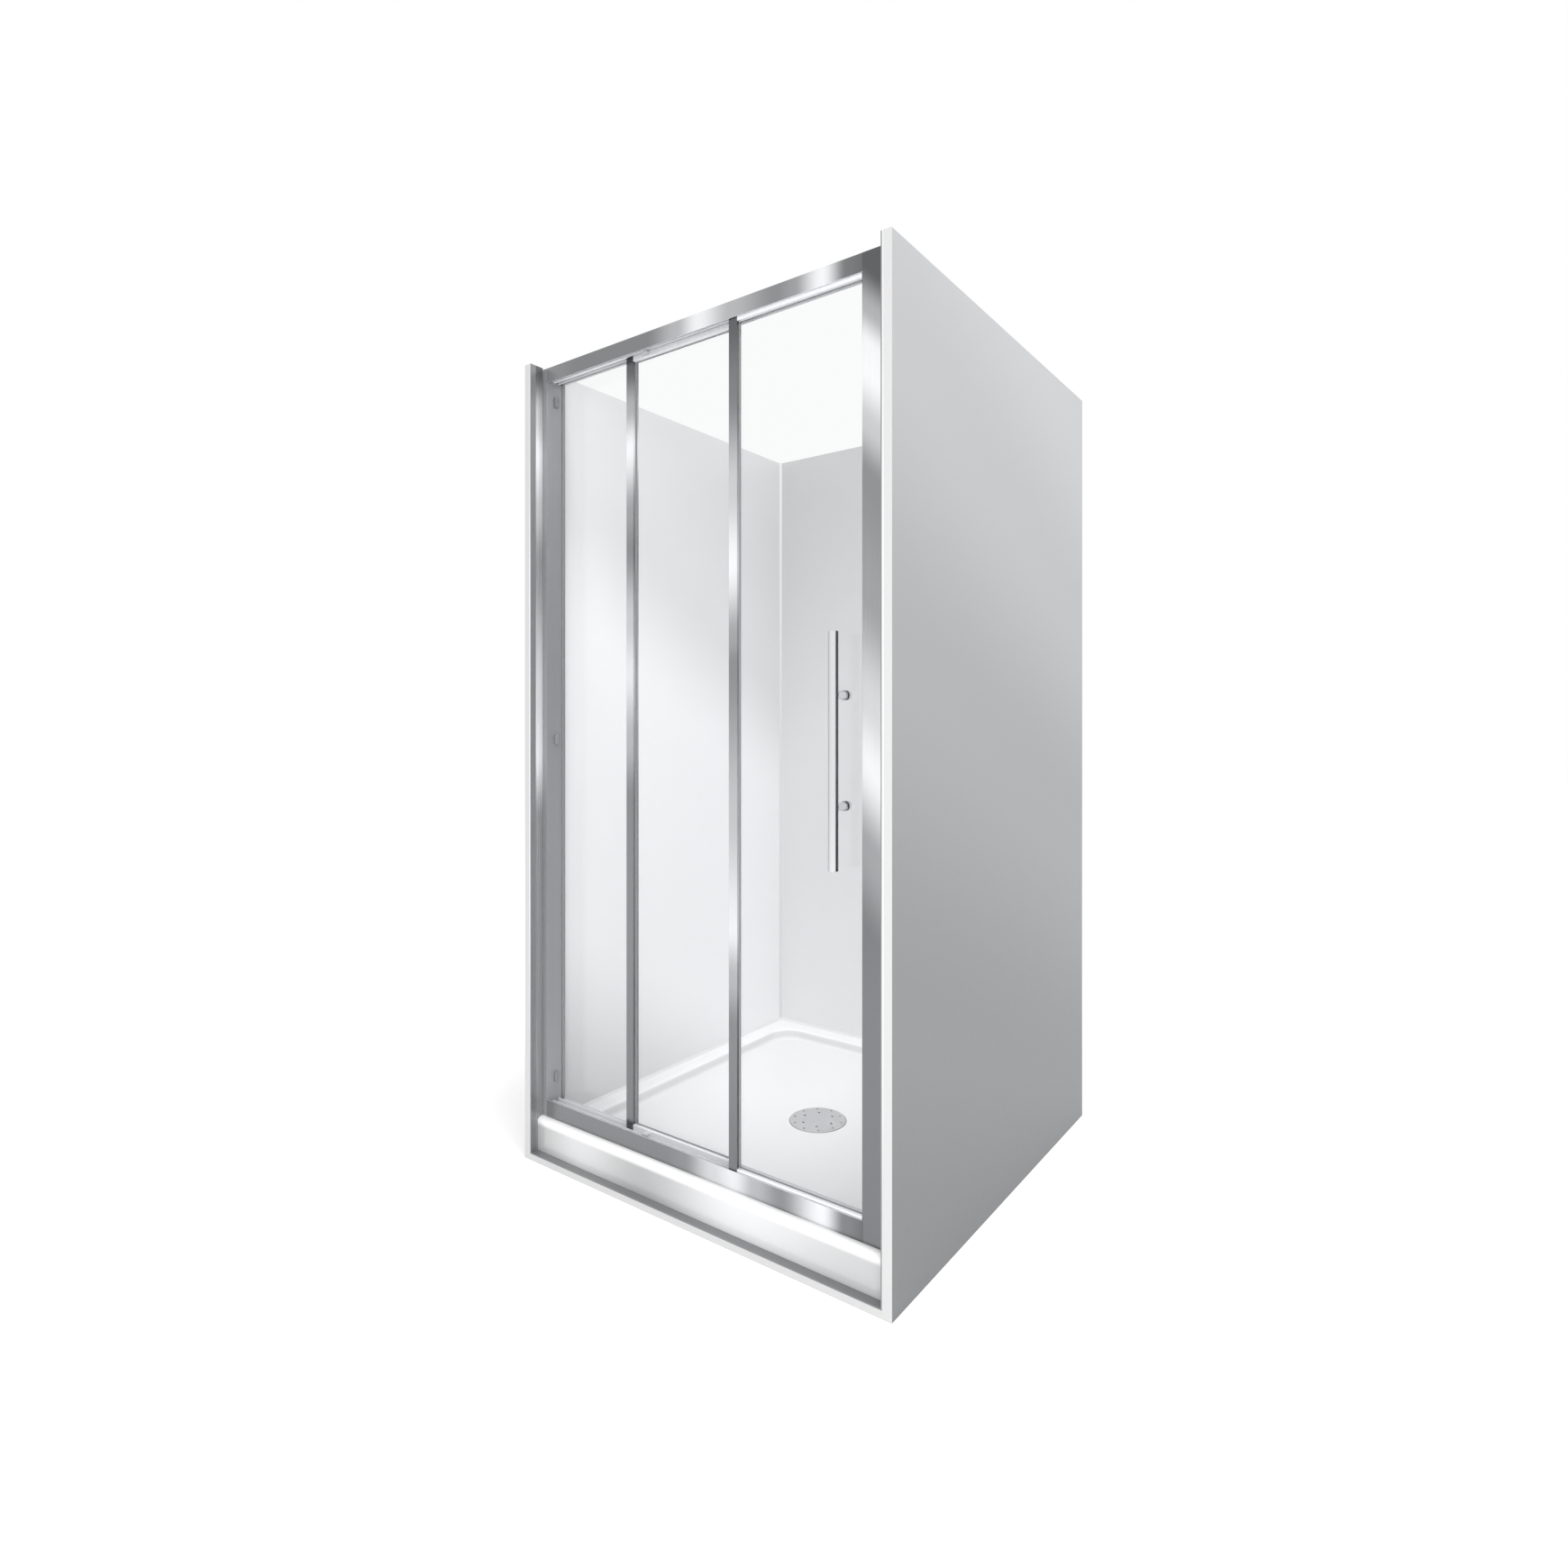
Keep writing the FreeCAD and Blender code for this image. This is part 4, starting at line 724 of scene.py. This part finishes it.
class SHOWER_OT_tray(bpy.types.Operator):
    """Model the acrylic tray: apron, threshold, ledge, basin and waste recess"""

    bl_idname = "shower.tray"
    bl_label = "Tray"

    def execute(self, context):
        sizes = context.scene.shower_sizes
        lip_top = TRAY_HIGH.z
        ledge_top = lip_top - sizes.threshold_rise
        floor = ledge_top - sizes.basin_deep
        step = TRAY_LOW.y + sizes.threshold_deep
        basin_front = step + sizes.basin_gap
        tray = add_block("shower_tray", TRAY_LOW, (TRAY_HIGH.x, TRAY_HIGH.y, ledge_top))

        edit(tray)
        bpy.ops.mesh.select_all(action="SELECT")
        bpy.ops.mesh.bisect(plane_co=(0, step, 0), plane_no=BACK)
        self.raise_threshold(tray, sizes, step, ledge_top, lip_top)
        self.sink_basin(tray, sizes, step, basin_front, ledge_top, floor)
        self.cut_waste(tray, sizes, floor)
        pick(tray, "faces", lambda face: near(face.calc_center_median().z, TRAY_LOW.z)
             and face.normal.z < -LEVEL)
        bpy.ops.mesh.delete(type="FACE")
        self.round_basin(tray, sizes, step, ledge_top, floor)
        bpy.ops.mesh.select_all(action="SELECT")
        bpy.ops.mesh.normals_make_consistent(inside=False)
        leave_edit()

        apply_modifier(tray, "SOLIDIFY", thickness=sizes.tray_skin, offset=-1.0,
                       use_even_offset=True)
        smooth(tray, 50.0)
        finish = acrylic_finish(context.scene.shower_colours.acrylic)
        set_piece(tray, "root", finish, "tray_acrylic", "tray_shell")
        return {"FINISHED"}

    @staticmethod
    def raise_threshold(tray, sizes, step, ledge_top, lip_top):
        """Draw the front strip of the top up, and round its two long edges."""
        pick(tray, "faces", lambda face: face.normal.z > LEVEL
             and face.calc_center_median().y < step)
        draw_up(lip_top - ledge_top)
        for line, radius, segments in ((TRAY_LOW.y, sizes.lip_radius, 6),
                                       (step, sizes.lip_radius * 0.6, 4)):
            pick(tray, "edges", lambda edge: near(middle_of(edge).z, lip_top)
                 and ends_at(edge, "y", line))
            round_edges(radius, segments)

    @staticmethod
    def sink_basin(tray, sizes, step, basin_front, ledge_top, floor):
        """Inset the ledge, draw the floor down inside it, and round the four corners."""
        pick(tray, "faces", lambda face: level_at(face, ledge_top))
        bpy.ops.mesh.inset(thickness=sizes.ledge_wide)
        inset_front = step + sizes.ledge_wide
        pick(tray, "verts", lambda vert: near(vert.co.z, ledge_top)
             and near(vert.co.y, inset_front))
        bpy.ops.transform.translate(value=(0, basin_front - inset_front, 0))
        half = TRAY_HIGH.x - sizes.ledge_wide
        rear = TRAY_HIGH.y - sizes.ledge_wide
        middle = Vector((0, (basin_front + rear) / 2, floor))
        pick(tray, "faces", lambda face: level_at(face, ledge_top)
             and near(face.calc_center_median().y, middle.y))
        draw_up(floor - ledge_top)
        shrink_x = 1.0 - sizes.basin_draft / half
        shrink_y = 1.0 - 2 * sizes.basin_draft / (rear - basin_front)
        bpy.ops.transform.resize(value=(shrink_x, shrink_y, 1.0), center_override=middle)
        least = 0.01
        pick(tray, "edges", lambda edge: abs(edge.verts[0].co.z - edge.verts[1].co.z) > least
             and abs(middle_of(edge).x) < half and middle_of(edge).y > basin_front)
        round_edges(sizes.basin_corner, 8)

    @staticmethod
    def cut_waste(tray, sizes, floor):
        """Replace the flat floor by one that falls to a round recess with a hole."""
        recess_radius = COVER_HIGH.x + 1.5 * MILLIMETRE
        recess_deep, recess_rounding, hole_radius = 0.006, 0.0018, 0.058
        around = pick(tray, "verts", lambda vert: near(vert.co.z, floor))
        pick(tray, "faces", lambda face: level_at(face, floor))
        bpy.ops.mesh.delete(type="ONLY_FACE")
        low_floor = floor - sizes.floor_fall
        turn = math.radians(180.0 / around)
        bpy.ops.mesh.select_all(action="DESELECT")
        bpy.ops.mesh.primitive_circle_add(vertices=around, radius=recess_radius,
                                          location=(0, 0, low_floor), rotation=(0, 0, turn))

        def ring_edge(edge, height, radius):
            return all(near(vert.co.z, height) and near(vert.co.xy.length, radius)
                       for vert in edge.verts)

        pick(tray, "edges", lambda edge: ring_edge(edge, low_floor, recess_radius)
             or ends_at(edge, "z", floor))
        bpy.ops.mesh.bridge_edge_loops()
        pick(tray, "edges", lambda edge: ring_edge(edge, low_floor, recess_radius))
        draw_up(-recess_deep)
        draw_up(0)
        scale = hole_radius / recess_radius
        bpy.ops.transform.resize(value=(scale, scale, 1.0),
                                 center_override=(0, 0, low_floor - recess_deep))
        pick(tray, "edges", lambda edge: ring_edge(edge, low_floor, recess_radius))
        round_edges(recess_rounding, 3)

    @staticmethod
    def round_basin(tray, sizes, step, ledge_top, floor):
        """Round the rim and the foot of the basin."""
        inside = TRAY_HIGH.x - sizes.ledge_wide / 2
        back_limit = TRAY_HIGH.y - sizes.ledge_wide / 2
        threshold_gap, rim_rounding, foot_rounding = 0.002, 0.007, 0.014
        pick(tray, "edges", lambda edge: all(
            near(vert.co.z, ledge_top) and abs(vert.co.x) < inside
            and step + threshold_gap < vert.co.y < back_limit for vert in edge.verts))
        round_edges(rim_rounding, 3)
        pick(tray, "edges", lambda edge: ends_at(edge, "z", floor))
        round_edges(foot_rounding, 4)


class SHOWER_OT_waste(bpy.types.Operator):
    """Model the waste cover with its rings of holes and its notched skirt"""

    bl_idname = "shower.waste"
    bl_label = "Waste cover"

    def execute(self, context):
        disc_thick = 0.004
        grate = join([self.disc(disc_thick), self.skirt(disc_thick)])
        smooth(grate, 40.0)
        set_piece(grate, "waste_cover", grate_finish(), "grate_metal", "waste_cover")
        return {"FINISHED"}

    @staticmethod
    def disc(thick):
        """A disc with a rounded rim, a fine step ring and two rings of holes."""
        top = COVER_HIGH.z
        middle = (0, 0, top - thick / 2)
        radius = (COVER_HIGH.x - COVER_LOW.x) / 2
        rounding, border, step_wide, step_deep = 0.0014, 0.0035, 0.0006, 0.0005
        disc = add_round("waste_grate", middle, radius, thick, "Z", 96)
        edit(disc)
        pick(disc, "edges", lambda edge: near(middle_of(edge).z, top, SMALL_SLACK))
        round_edges(rounding, 4)
        pick(disc, "faces", lambda face: face.normal.z > LEVEL_BY_ROUNDING)
        bpy.ops.mesh.inset(thickness=border)
        for sink in (-step_deep, step_deep):
            bpy.ops.mesh.inset(thickness=step_wide)
            bpy.ops.transform.translate(value=(0, 0, sink))
        leave_edit()

        pin_radius, pin_long = 0.003, 0.012
        pin = add_round("pin", middle, pin_radius, pin_long, "Z", 20)
        pins = []
        for count, ring, start in ((10, 0.060, 18.0), (6, 0.040, 0.0)):
            for index in range(count):
                angle = math.radians(start + index * 360.0 / count)
                place = (ring * math.cos(angle), ring * math.sin(angle), 0)
                pins.append(shifted_copy(pin, place))
        bpy.data.objects.remove(pin)
        cut_away(disc, join(pins))
        return disc

    @staticmethod
    def skirt(disc_thick):
        """A thin ring below the disc, with six notches in its foot."""
        foot = COVER_LOW.z
        outer, wall = 0.0515, 0.002
        long = COVER_HIGH.z - disc_thick - foot
        skirt = add_round("waste_skirt", (0, 0, foot + long / 2), outer, long, "Z", 72)
        edit(skirt)
        pick(skirt, "faces", lambda face: abs(face.normal.z) > LEVEL)
        bpy.ops.mesh.delete(type="FACE")
        leave_edit()
        apply_modifier(skirt, "SOLIDIFY", thickness=wall, offset=-1.0)
        notch_half, notch_high, notch_from, notch_to = 0.009, 0.006, 0.045, 0.055
        notch = add_block("notch", (notch_from, -notch_half, foot - MILLIMETRE),
                          (notch_to, notch_half, foot + notch_high))
        notches = [turned_copy(notch, 30.0 + index * 60.0) for index in range(6)]
        bpy.data.objects.remove(notch)
        cut_away(skirt, join(notches))
        return skirt


class SHOWER_OT_trims(bpy.types.Operator):
    """Dress the metal trims along the front edges"""

    bl_idname = "shower.trims"
    bl_label = "Edge trims"

    def execute(self, context):
        sizes = context.scene.shower_sizes
        # Painted shade and reflection bands on the side trims, and a flat grey of painted shade
        # on the base trim.
        sides = edge_trim_metal()
        low = polished_metal("base_trim_metal", RIGHT, BASE_TRIM_SHADE_TONES, metallic=0.4)
        for node, finish in (("right_edge_trim", sides), ("left_edge_trim", sides),
                             ("bottom_edge_trim", low)):
            piece = softened(node, node.replace("_edge", "_metal"), sizes.metal_edge,
                             longer_than=0.01)
            set_piece(piece, "root", finish, "edge_trim", node)
        return {"FINISHED"}


class SHOWER_OT_frame(bpy.types.Operator):
    """Dress the header, the sill, the jambs and the channels behind them"""

    bl_idname = "shower.frame"
    bl_label = "Outer frame"

    def execute(self, context):
        sizes = context.scene.shower_sizes
        # Painted reflection bands along the header, sill and right jamb; a flat grey of painted
        # shade on the left jamb and the wall channels.
        finishes = {
            "header": polished_metal("header_metal", RIGHT, HEADER_REFLECTION_TONES,
                                     front=HEADER_LOW.y, lid=HEADER_HIGH.z),
            "sill": polished_metal("sill_metal", RIGHT, SILL_REFLECTION_TONES, front=SILL_FRONT),
            "right_jamb": polished_metal("right_jamb_metal", (1, 0, 1), leaning(RIGHT_JAMB_REFLECTION_TONES),
                                         drawn=UP),
            "left_jamb": polished_metal("left_jamb_metal", UP, LEFT_JAMB_SHADE_TONES, metallic=0.3),
        }
        for node, finish in finishes.items():
            piece = softened(node, node + "_bar", sizes.metal_edge, longer_than=0.2)
            set_piece(piece, "root", finish, "frame_metal", node)
        for node in ("left_wall_channel", "right_wall_channel"):
            paint_node(node, finishes["left_jamb"])
        return {"FINISHED"}


class SHOWER_OT_doors(bpy.types.Operator):
    """Dress the uprights and rails of both doors and of the fixed panel"""

    bl_idname = "shower.doors"
    bl_label = "Door frames"

    def execute(self, context):
        sizes = context.scene.shower_sizes
        slim_edge = sizes.metal_edge * 0.7
        # Painted reflection bands up the uprights.
        front = polished_metal("front_stile_metal", UP, FRONT_STILE_REFLECTION_TONES)
        rear = polished_metal("rear_stile_metal", UP, REAR_STILE_REFLECTION_TONES)
        closing = polished_metal("closing_stile_metal", UP, RIGHT_JAMB_REFLECTION_TONES)
        rail = polished_metal("rail_metal", RIGHT, RAIL_TONES, metallic=0.4)
        for node, finish in (("leading_left_stile", front), ("leading_right_stile", closing),
                             ("middle_right_stile", front), ("middle_left_stile", rear),
                             ("fixed_stile", rear), ("leading_top_rail", rail),
                             ("leading_bottom_rail", rail), ("middle_top_rail", rail),
                             ("middle_bottom_rail", rail)):
            piece = softened(node, node + "_bar", slim_edge, longer_than=0.1, smooth_to=40.0,
                             steeper_than=70.0)
            set_piece(piece, bay_body(node), finish, "frame_metal", node)
        return {"FINISHED"}


class SHOWER_OT_glass(bpy.types.Operator):
    """Dress the three panes with ground edges"""

    bl_idname = "shower.glass"
    bl_label = "Glass"

    def execute(self, context):
        sizes = context.scene.shower_sizes
        finish = glass_finish(context.scene.shower_colours.glass_tint)
        for node in ("fixed_glass", "middle_glass", "leading_glass"):
            piece = softened(node, node.replace("_glass", "_pane"), sizes.glass_edge,
                             longer_than=0.1, smooth_to=20.0, segments=1)
            set_piece(piece, bay_body(node), finish, "glass", node)
        return {"FINISHED"}


class SHOWER_OT_handle(bpy.types.Operator):
    """Model the pull bar, its posts and the caps behind the glass"""

    bl_idname = "shower.handle"
    bl_label = "Pull bar"

    def execute(self, context):
        sizes = context.scene.shower_sizes
        radius = (BAR_HIGH.x - BAR_LOW.x) / 2
        middle = (BAR_LOW + BAR_HIGH) / 2
        axis_at = middle.dot(Vector(BAR_SLOPE))
        # Painted highlight and dark stripe of shade across the bar, placed about its own axis.
        stops = [(axis_at + place, tone) for place, tone in BAR_LIGHT_AND_SHADE_TONES]
        bar_finish = polished_metal("bar_chrome", BAR_SLOPE, stops, roughness=0.12,
                                    metallic=0.8, drawn=UP)
        finish = polished_metal("post_chrome", UP, POST_TONES, roughness=0.12, metallic=0.7)
        bar = add_round("pull_bar", middle, radius, BAR_HIGH.z - BAR_LOW.z, "Z")
        border, dish_step, dish_deep = 0.0012, 0.0003, 0.0003
        edit(bar)
        for height, inward in ((BAR_LOW.z, dish_deep), (BAR_HIGH.z, -dish_deep)):
            pick(bar, "edges", lambda edge: near(middle_of(edge).z, height, SMALL_SLACK))
            round_edges(sizes.bar_chamfer, 3)
            pick(bar, "faces", lambda face: abs(face.normal.z) > LEVEL_BY_ROUNDING
                 and near(face.calc_center_median().z, height, SMALL_SLACK))
            bpy.ops.mesh.inset(thickness=border)
            bpy.ops.mesh.inset(thickness=dish_step)
            bpy.ops.transform.translate(value=(0, 0, inward))
        leave_edit()
        smooth(bar, 40.0)
        set_piece(bar, "leading_door", bar_finish, "handle_metal", "handle_bar",
                  "handle_end_plugs")

        posts_low, posts_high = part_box("handle_posts")
        caps_low, caps_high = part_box("handle_inner_caps")
        post_radius = (posts_high.x - posts_low.x) / 2
        cap_radius = (caps_high.x - caps_low.x) / 2
        low_level = posts_low.z + post_radius
        up = (0, 0, posts_high.z - post_radius - low_level)
        post = self.post(low_level, middle, radius, post_radius, posts_high.y)
        cap = self.cap(low_level, middle, cap_radius, caps_low.y, caps_high.y)
        for lower, name, node in ((post, "pull_posts", "handle_posts"),
                                  (cap, "pull_caps", "handle_inner_caps")):
            piece = join([lower, shifted_copy(lower, up)])
            piece.name = piece.data.name = name
            smooth(piece, 40.0)
            set_piece(piece, "leading_door", finish, "handle_metal", node)
        return {"FINISHED"}

    @staticmethod
    def post(level, middle, bar_radius, radius, glass_y):
        """A round post from inside the bar to the washer, with a groove near the glass."""
        start = middle.y + bar_radius * 0.7
        long = glass_y - start
        groove_end = glass_y - 0.004
        groove_start = groove_end - 0.0012
        border, shrink, rounding = 0.00005, 0.93, 0.0006
        post = add_round("post", (middle.x, start + long / 2, level), radius, long, "Y", 48)
        edit(post)
        for place in (groove_start, groove_end):
            bpy.ops.mesh.select_all(action="SELECT")
            bpy.ops.mesh.bisect(plane_co=(0, place, 0), plane_no=BACK)
        pick(post, "faces",
             lambda face: groove_start < face.calc_center_median().y < groove_end)
        bpy.ops.mesh.inset(thickness=border)
        bpy.ops.transform.resize(value=(shrink, 1.0, shrink),
                                 center_override=(middle.x, groove_end, level))
        pick(post, "edges", lambda edge: near(middle_of(edge).y, glass_y, SMALL_SLACK))
        round_edges(rounding, 2)
        leave_edit()
        return post

    @staticmethod
    def cap(level, middle, radius, near_y, far_y):
        """A low round cap behind the glass with a soft outer edge."""
        rounding = 0.002
        cap = add_round("cap", (middle.x, (near_y + far_y) / 2, level), radius,
                        far_y - near_y, "Y", 48)
        edit(cap)
        pick(cap, "edges", lambda edge: near(middle_of(edge).y, far_y, SMALL_SLACK))
        round_edges(rounding, 4)
        leave_edit()
        return cap


class SHOWER_OT_hardware(bpy.types.Operator):
    """Finish the wheels, guides, brackets, screws, seals and the parts of the waste"""

    bl_idname = "shower.hardware"
    bl_label = "Hardware and seals"

    def execute(self, context):
        colours = context.scene.shower_colours
        nylon = plain_finish("nylon", colours.nylon, 0.40)
        rubber = plain_finish("dark_rubber", colours.rubber, 0.60)
        gasket = plain_finish("grey_gasket", colours.gasket, 0.45)
        steel = plain_finish("plain_steel", colours.steel, 0.30, metallic=1.0)
        plastic = plain_finish("waste_plastic", (0.78, 0.78, 0.76), 0.35)
        foam = plain_finish("foam_core", colours.foam, 0.80, grain_scale=120.0, grain=0.25,
                            bump=0.0006)
        groups = (
            (rubber, ("jamb_bumpers", "waste_gasket")),
            (gasket, ("fixed_glazing_gasket", "leading_closing_seal", "middle_pickup_stops")),
            (steel, ("wall_screws", "frame_screws", "handle_fixings")),
            (plastic, ("waste_body", "waste_nut")),
            (foam, ("tray_core",)),
        )
        for finish, nodes in groups:
            for node in nodes:
                paint_node(node, finish)
        for door in ("middle", "leading"):
            for part, finish in (("left_wheel", nylon), ("right_wheel", nylon),
                                 ("bottom_guides", nylon), ("roller_brackets", steel),
                                 ("roller_axles", steel), ("door_screws", steel),
                                 ("glazing_gasket", gasket)):
                paint_node(f"{door}_{part}", finish)
        return {"FINISHED"}


class SHOWER_OT_stage(bpy.types.Operator):
    """Set the floor, the world, the lamps and the camera"""

    bl_idname = "shower.stage"
    bl_label = "Stage"

    def execute(self, context):
        scene = context.scene
        scene.view_settings.view_transform = "Standard"
        self.lay_floor()
        self.light_world(scene)
        self.hang_lamps()
        self.place_camera(scene)
        return {"FINISHED"}

    @staticmethod
    def seen_rays(tree):
        """1 for camera, glossy and transmission rays, and 0 for the rays that light things."""
        path = tree.nodes.new("ShaderNodeLightPath")
        total = path.outputs["Is Camera Ray"]
        for kind in ("Is Glossy Ray", "Is Transmission Ray"):
            total = combine(tree, "MAXIMUM", total, path.outputs[kind])
        return total

    def lay_floor(self):
        """A wide pale floor that shows white, and keeps a soft shadow."""
        half, tone, roughness, glow_strength = 20.0, 0.92, 0.9, 0.31
        deselect()
        bpy.ops.mesh.primitive_plane_add(size=2 * half, location=(0, 0, 0))
        floor = bpy.context.object
        floor.name = floor.data.name = "studio_floor"
        material, tree, shader = start_material("studio_floor")
        feed(tree, shader, {"Base Color": grey(tone), "Roughness": roughness})
        plain = shader.outputs["BSDF"]
        glow = add_node(tree, "ShaderNodeEmission", {"Strength": glow_strength}).outputs[0]
        lit = add_node(tree, "ShaderNodeAddShader", {0: plain, 1: glow}).outputs["Shader"]
        blend_shaders(tree, self.seen_rays(tree), plain, lit)
        floor.data.materials.append(material)

    def light_world(self, scene):
        """White where it is seen, and a softer even light where it lights the shower."""
        lighting, seen = 0.8, 1.0
        world = bpy.data.worlds.new("studio_world")
        scene.world = world
        world.use_nodes = True
        tree = world.node_tree
        feed(tree, tree.nodes["Background"], {
            "Color": WHITE,
            "Strength": between(tree, self.seen_rays(tree), lighting, seen)})

    @staticmethod
    def hang_lamps():
        """A broad key from the front, and one high overhead."""
        lamps = (
            ("key_lamp", (1.9, -2.9, 1.2), (0.0, 0.0, 0.5), 2.2, 38.0),
            ("top_lamp", (0.9, -0.6, 6.0), (0.0, 0.0, 0.6), 1.6, 178.0),
        )
        for name, place, target, size, power in lamps:
            data = bpy.data.lights.new(name, "AREA")
            data.shape = "DISK"
            data.size = size
            data.energy = power
            lamp = bpy.data.objects.new(name, data)
            lamp.visible_glossy = False
            lamp.location = place
            aim = Vector(target) - Vector(place)
            lamp.rotation_euler = aim.to_track_quat("-Z", "Y").to_euler()
            bpy.context.scene.collection.objects.link(lamp)

    @staticmethod
    def place_camera(scene):
        """The level view of the photograph, from in front and to the right."""
        frame_wide = 1740.0
        focal_pixels = 980.05
        principal = (888.7, 805.7)
        sensor = 36.0
        place, turn = (1.2577, -1.8182, 1.0243), math.radians(35.776)
        data = bpy.data.cameras.new("photo_camera")
        data.sensor_fit = "HORIZONTAL"
        data.sensor_width = sensor
        data.lens = focal_pixels / frame_wide * sensor
        data.shift_x = (frame_wide / 2 - principal[0]) / frame_wide
        data.shift_y = (principal[1] - frame_wide / 2) / frame_wide
        data.clip_end = 100.0
        camera = bpy.data.objects.new("photo_camera", data)
        camera.location = place
        camera.rotation_euler = (math.radians(90.0), 0.0, turn)
        scene.collection.objects.link(camera)
        scene.camera = camera


class SHOWER_PT_panel(bpy.types.Panel):
    """Lists the steps and what can be changed"""

    bl_label = "Shower"
    bl_idname = "SHOWER_PT_panel"
    bl_space_type = "VIEW_3D"
    bl_region_type = "UI"
    bl_category = "Shower"

    def draw(self, context):
        layout = self.layout
        for operator in OPERATORS:
            layout.operator(operator.bl_idname)
        for group in (context.scene.shower_sizes, context.scene.shower_colours):
            box = layout.box()
            for name in group.bl_rna.properties.keys():
                if name not in {"rna_type", "name"}:
                    box.prop(group, name)


OPERATORS = (SHOWER_OT_walls, SHOWER_OT_liners, SHOWER_OT_tray, SHOWER_OT_waste,
             SHOWER_OT_trims, SHOWER_OT_frame, SHOWER_OT_doors, SHOWER_OT_glass,
             SHOWER_OT_handle, SHOWER_OT_hardware, SHOWER_OT_stage)
CLASSES = (ShowerSizes, ShowerColours, *OPERATORS, SHOWER_PT_panel)


def register():
    for cls in CLASSES:
        bpy.utils.register_class(cls)
    bpy.types.Scene.shower_sizes = PointerProperty(type=ShowerSizes)
    bpy.types.Scene.shower_colours = PointerProperty(type=ShowerColours)


def unregister():
    del bpy.types.Scene.shower_colours
    del bpy.types.Scene.shower_sizes
    for cls in reversed(CLASSES):
        bpy.utils.unregister_class(cls)


def main():
    register()
    bpy.ops.shower.walls()
    bpy.ops.shower.liners()
    bpy.ops.shower.tray()
    bpy.ops.shower.waste()
    bpy.ops.shower.trims()
    bpy.ops.shower.frame()
    bpy.ops.shower.doors()
    bpy.ops.shower.glass()
    bpy.ops.shower.handle()
    bpy.ops.shower.hardware()
    bpy.ops.shower.stage()


if __name__ == "__main__":
    main()
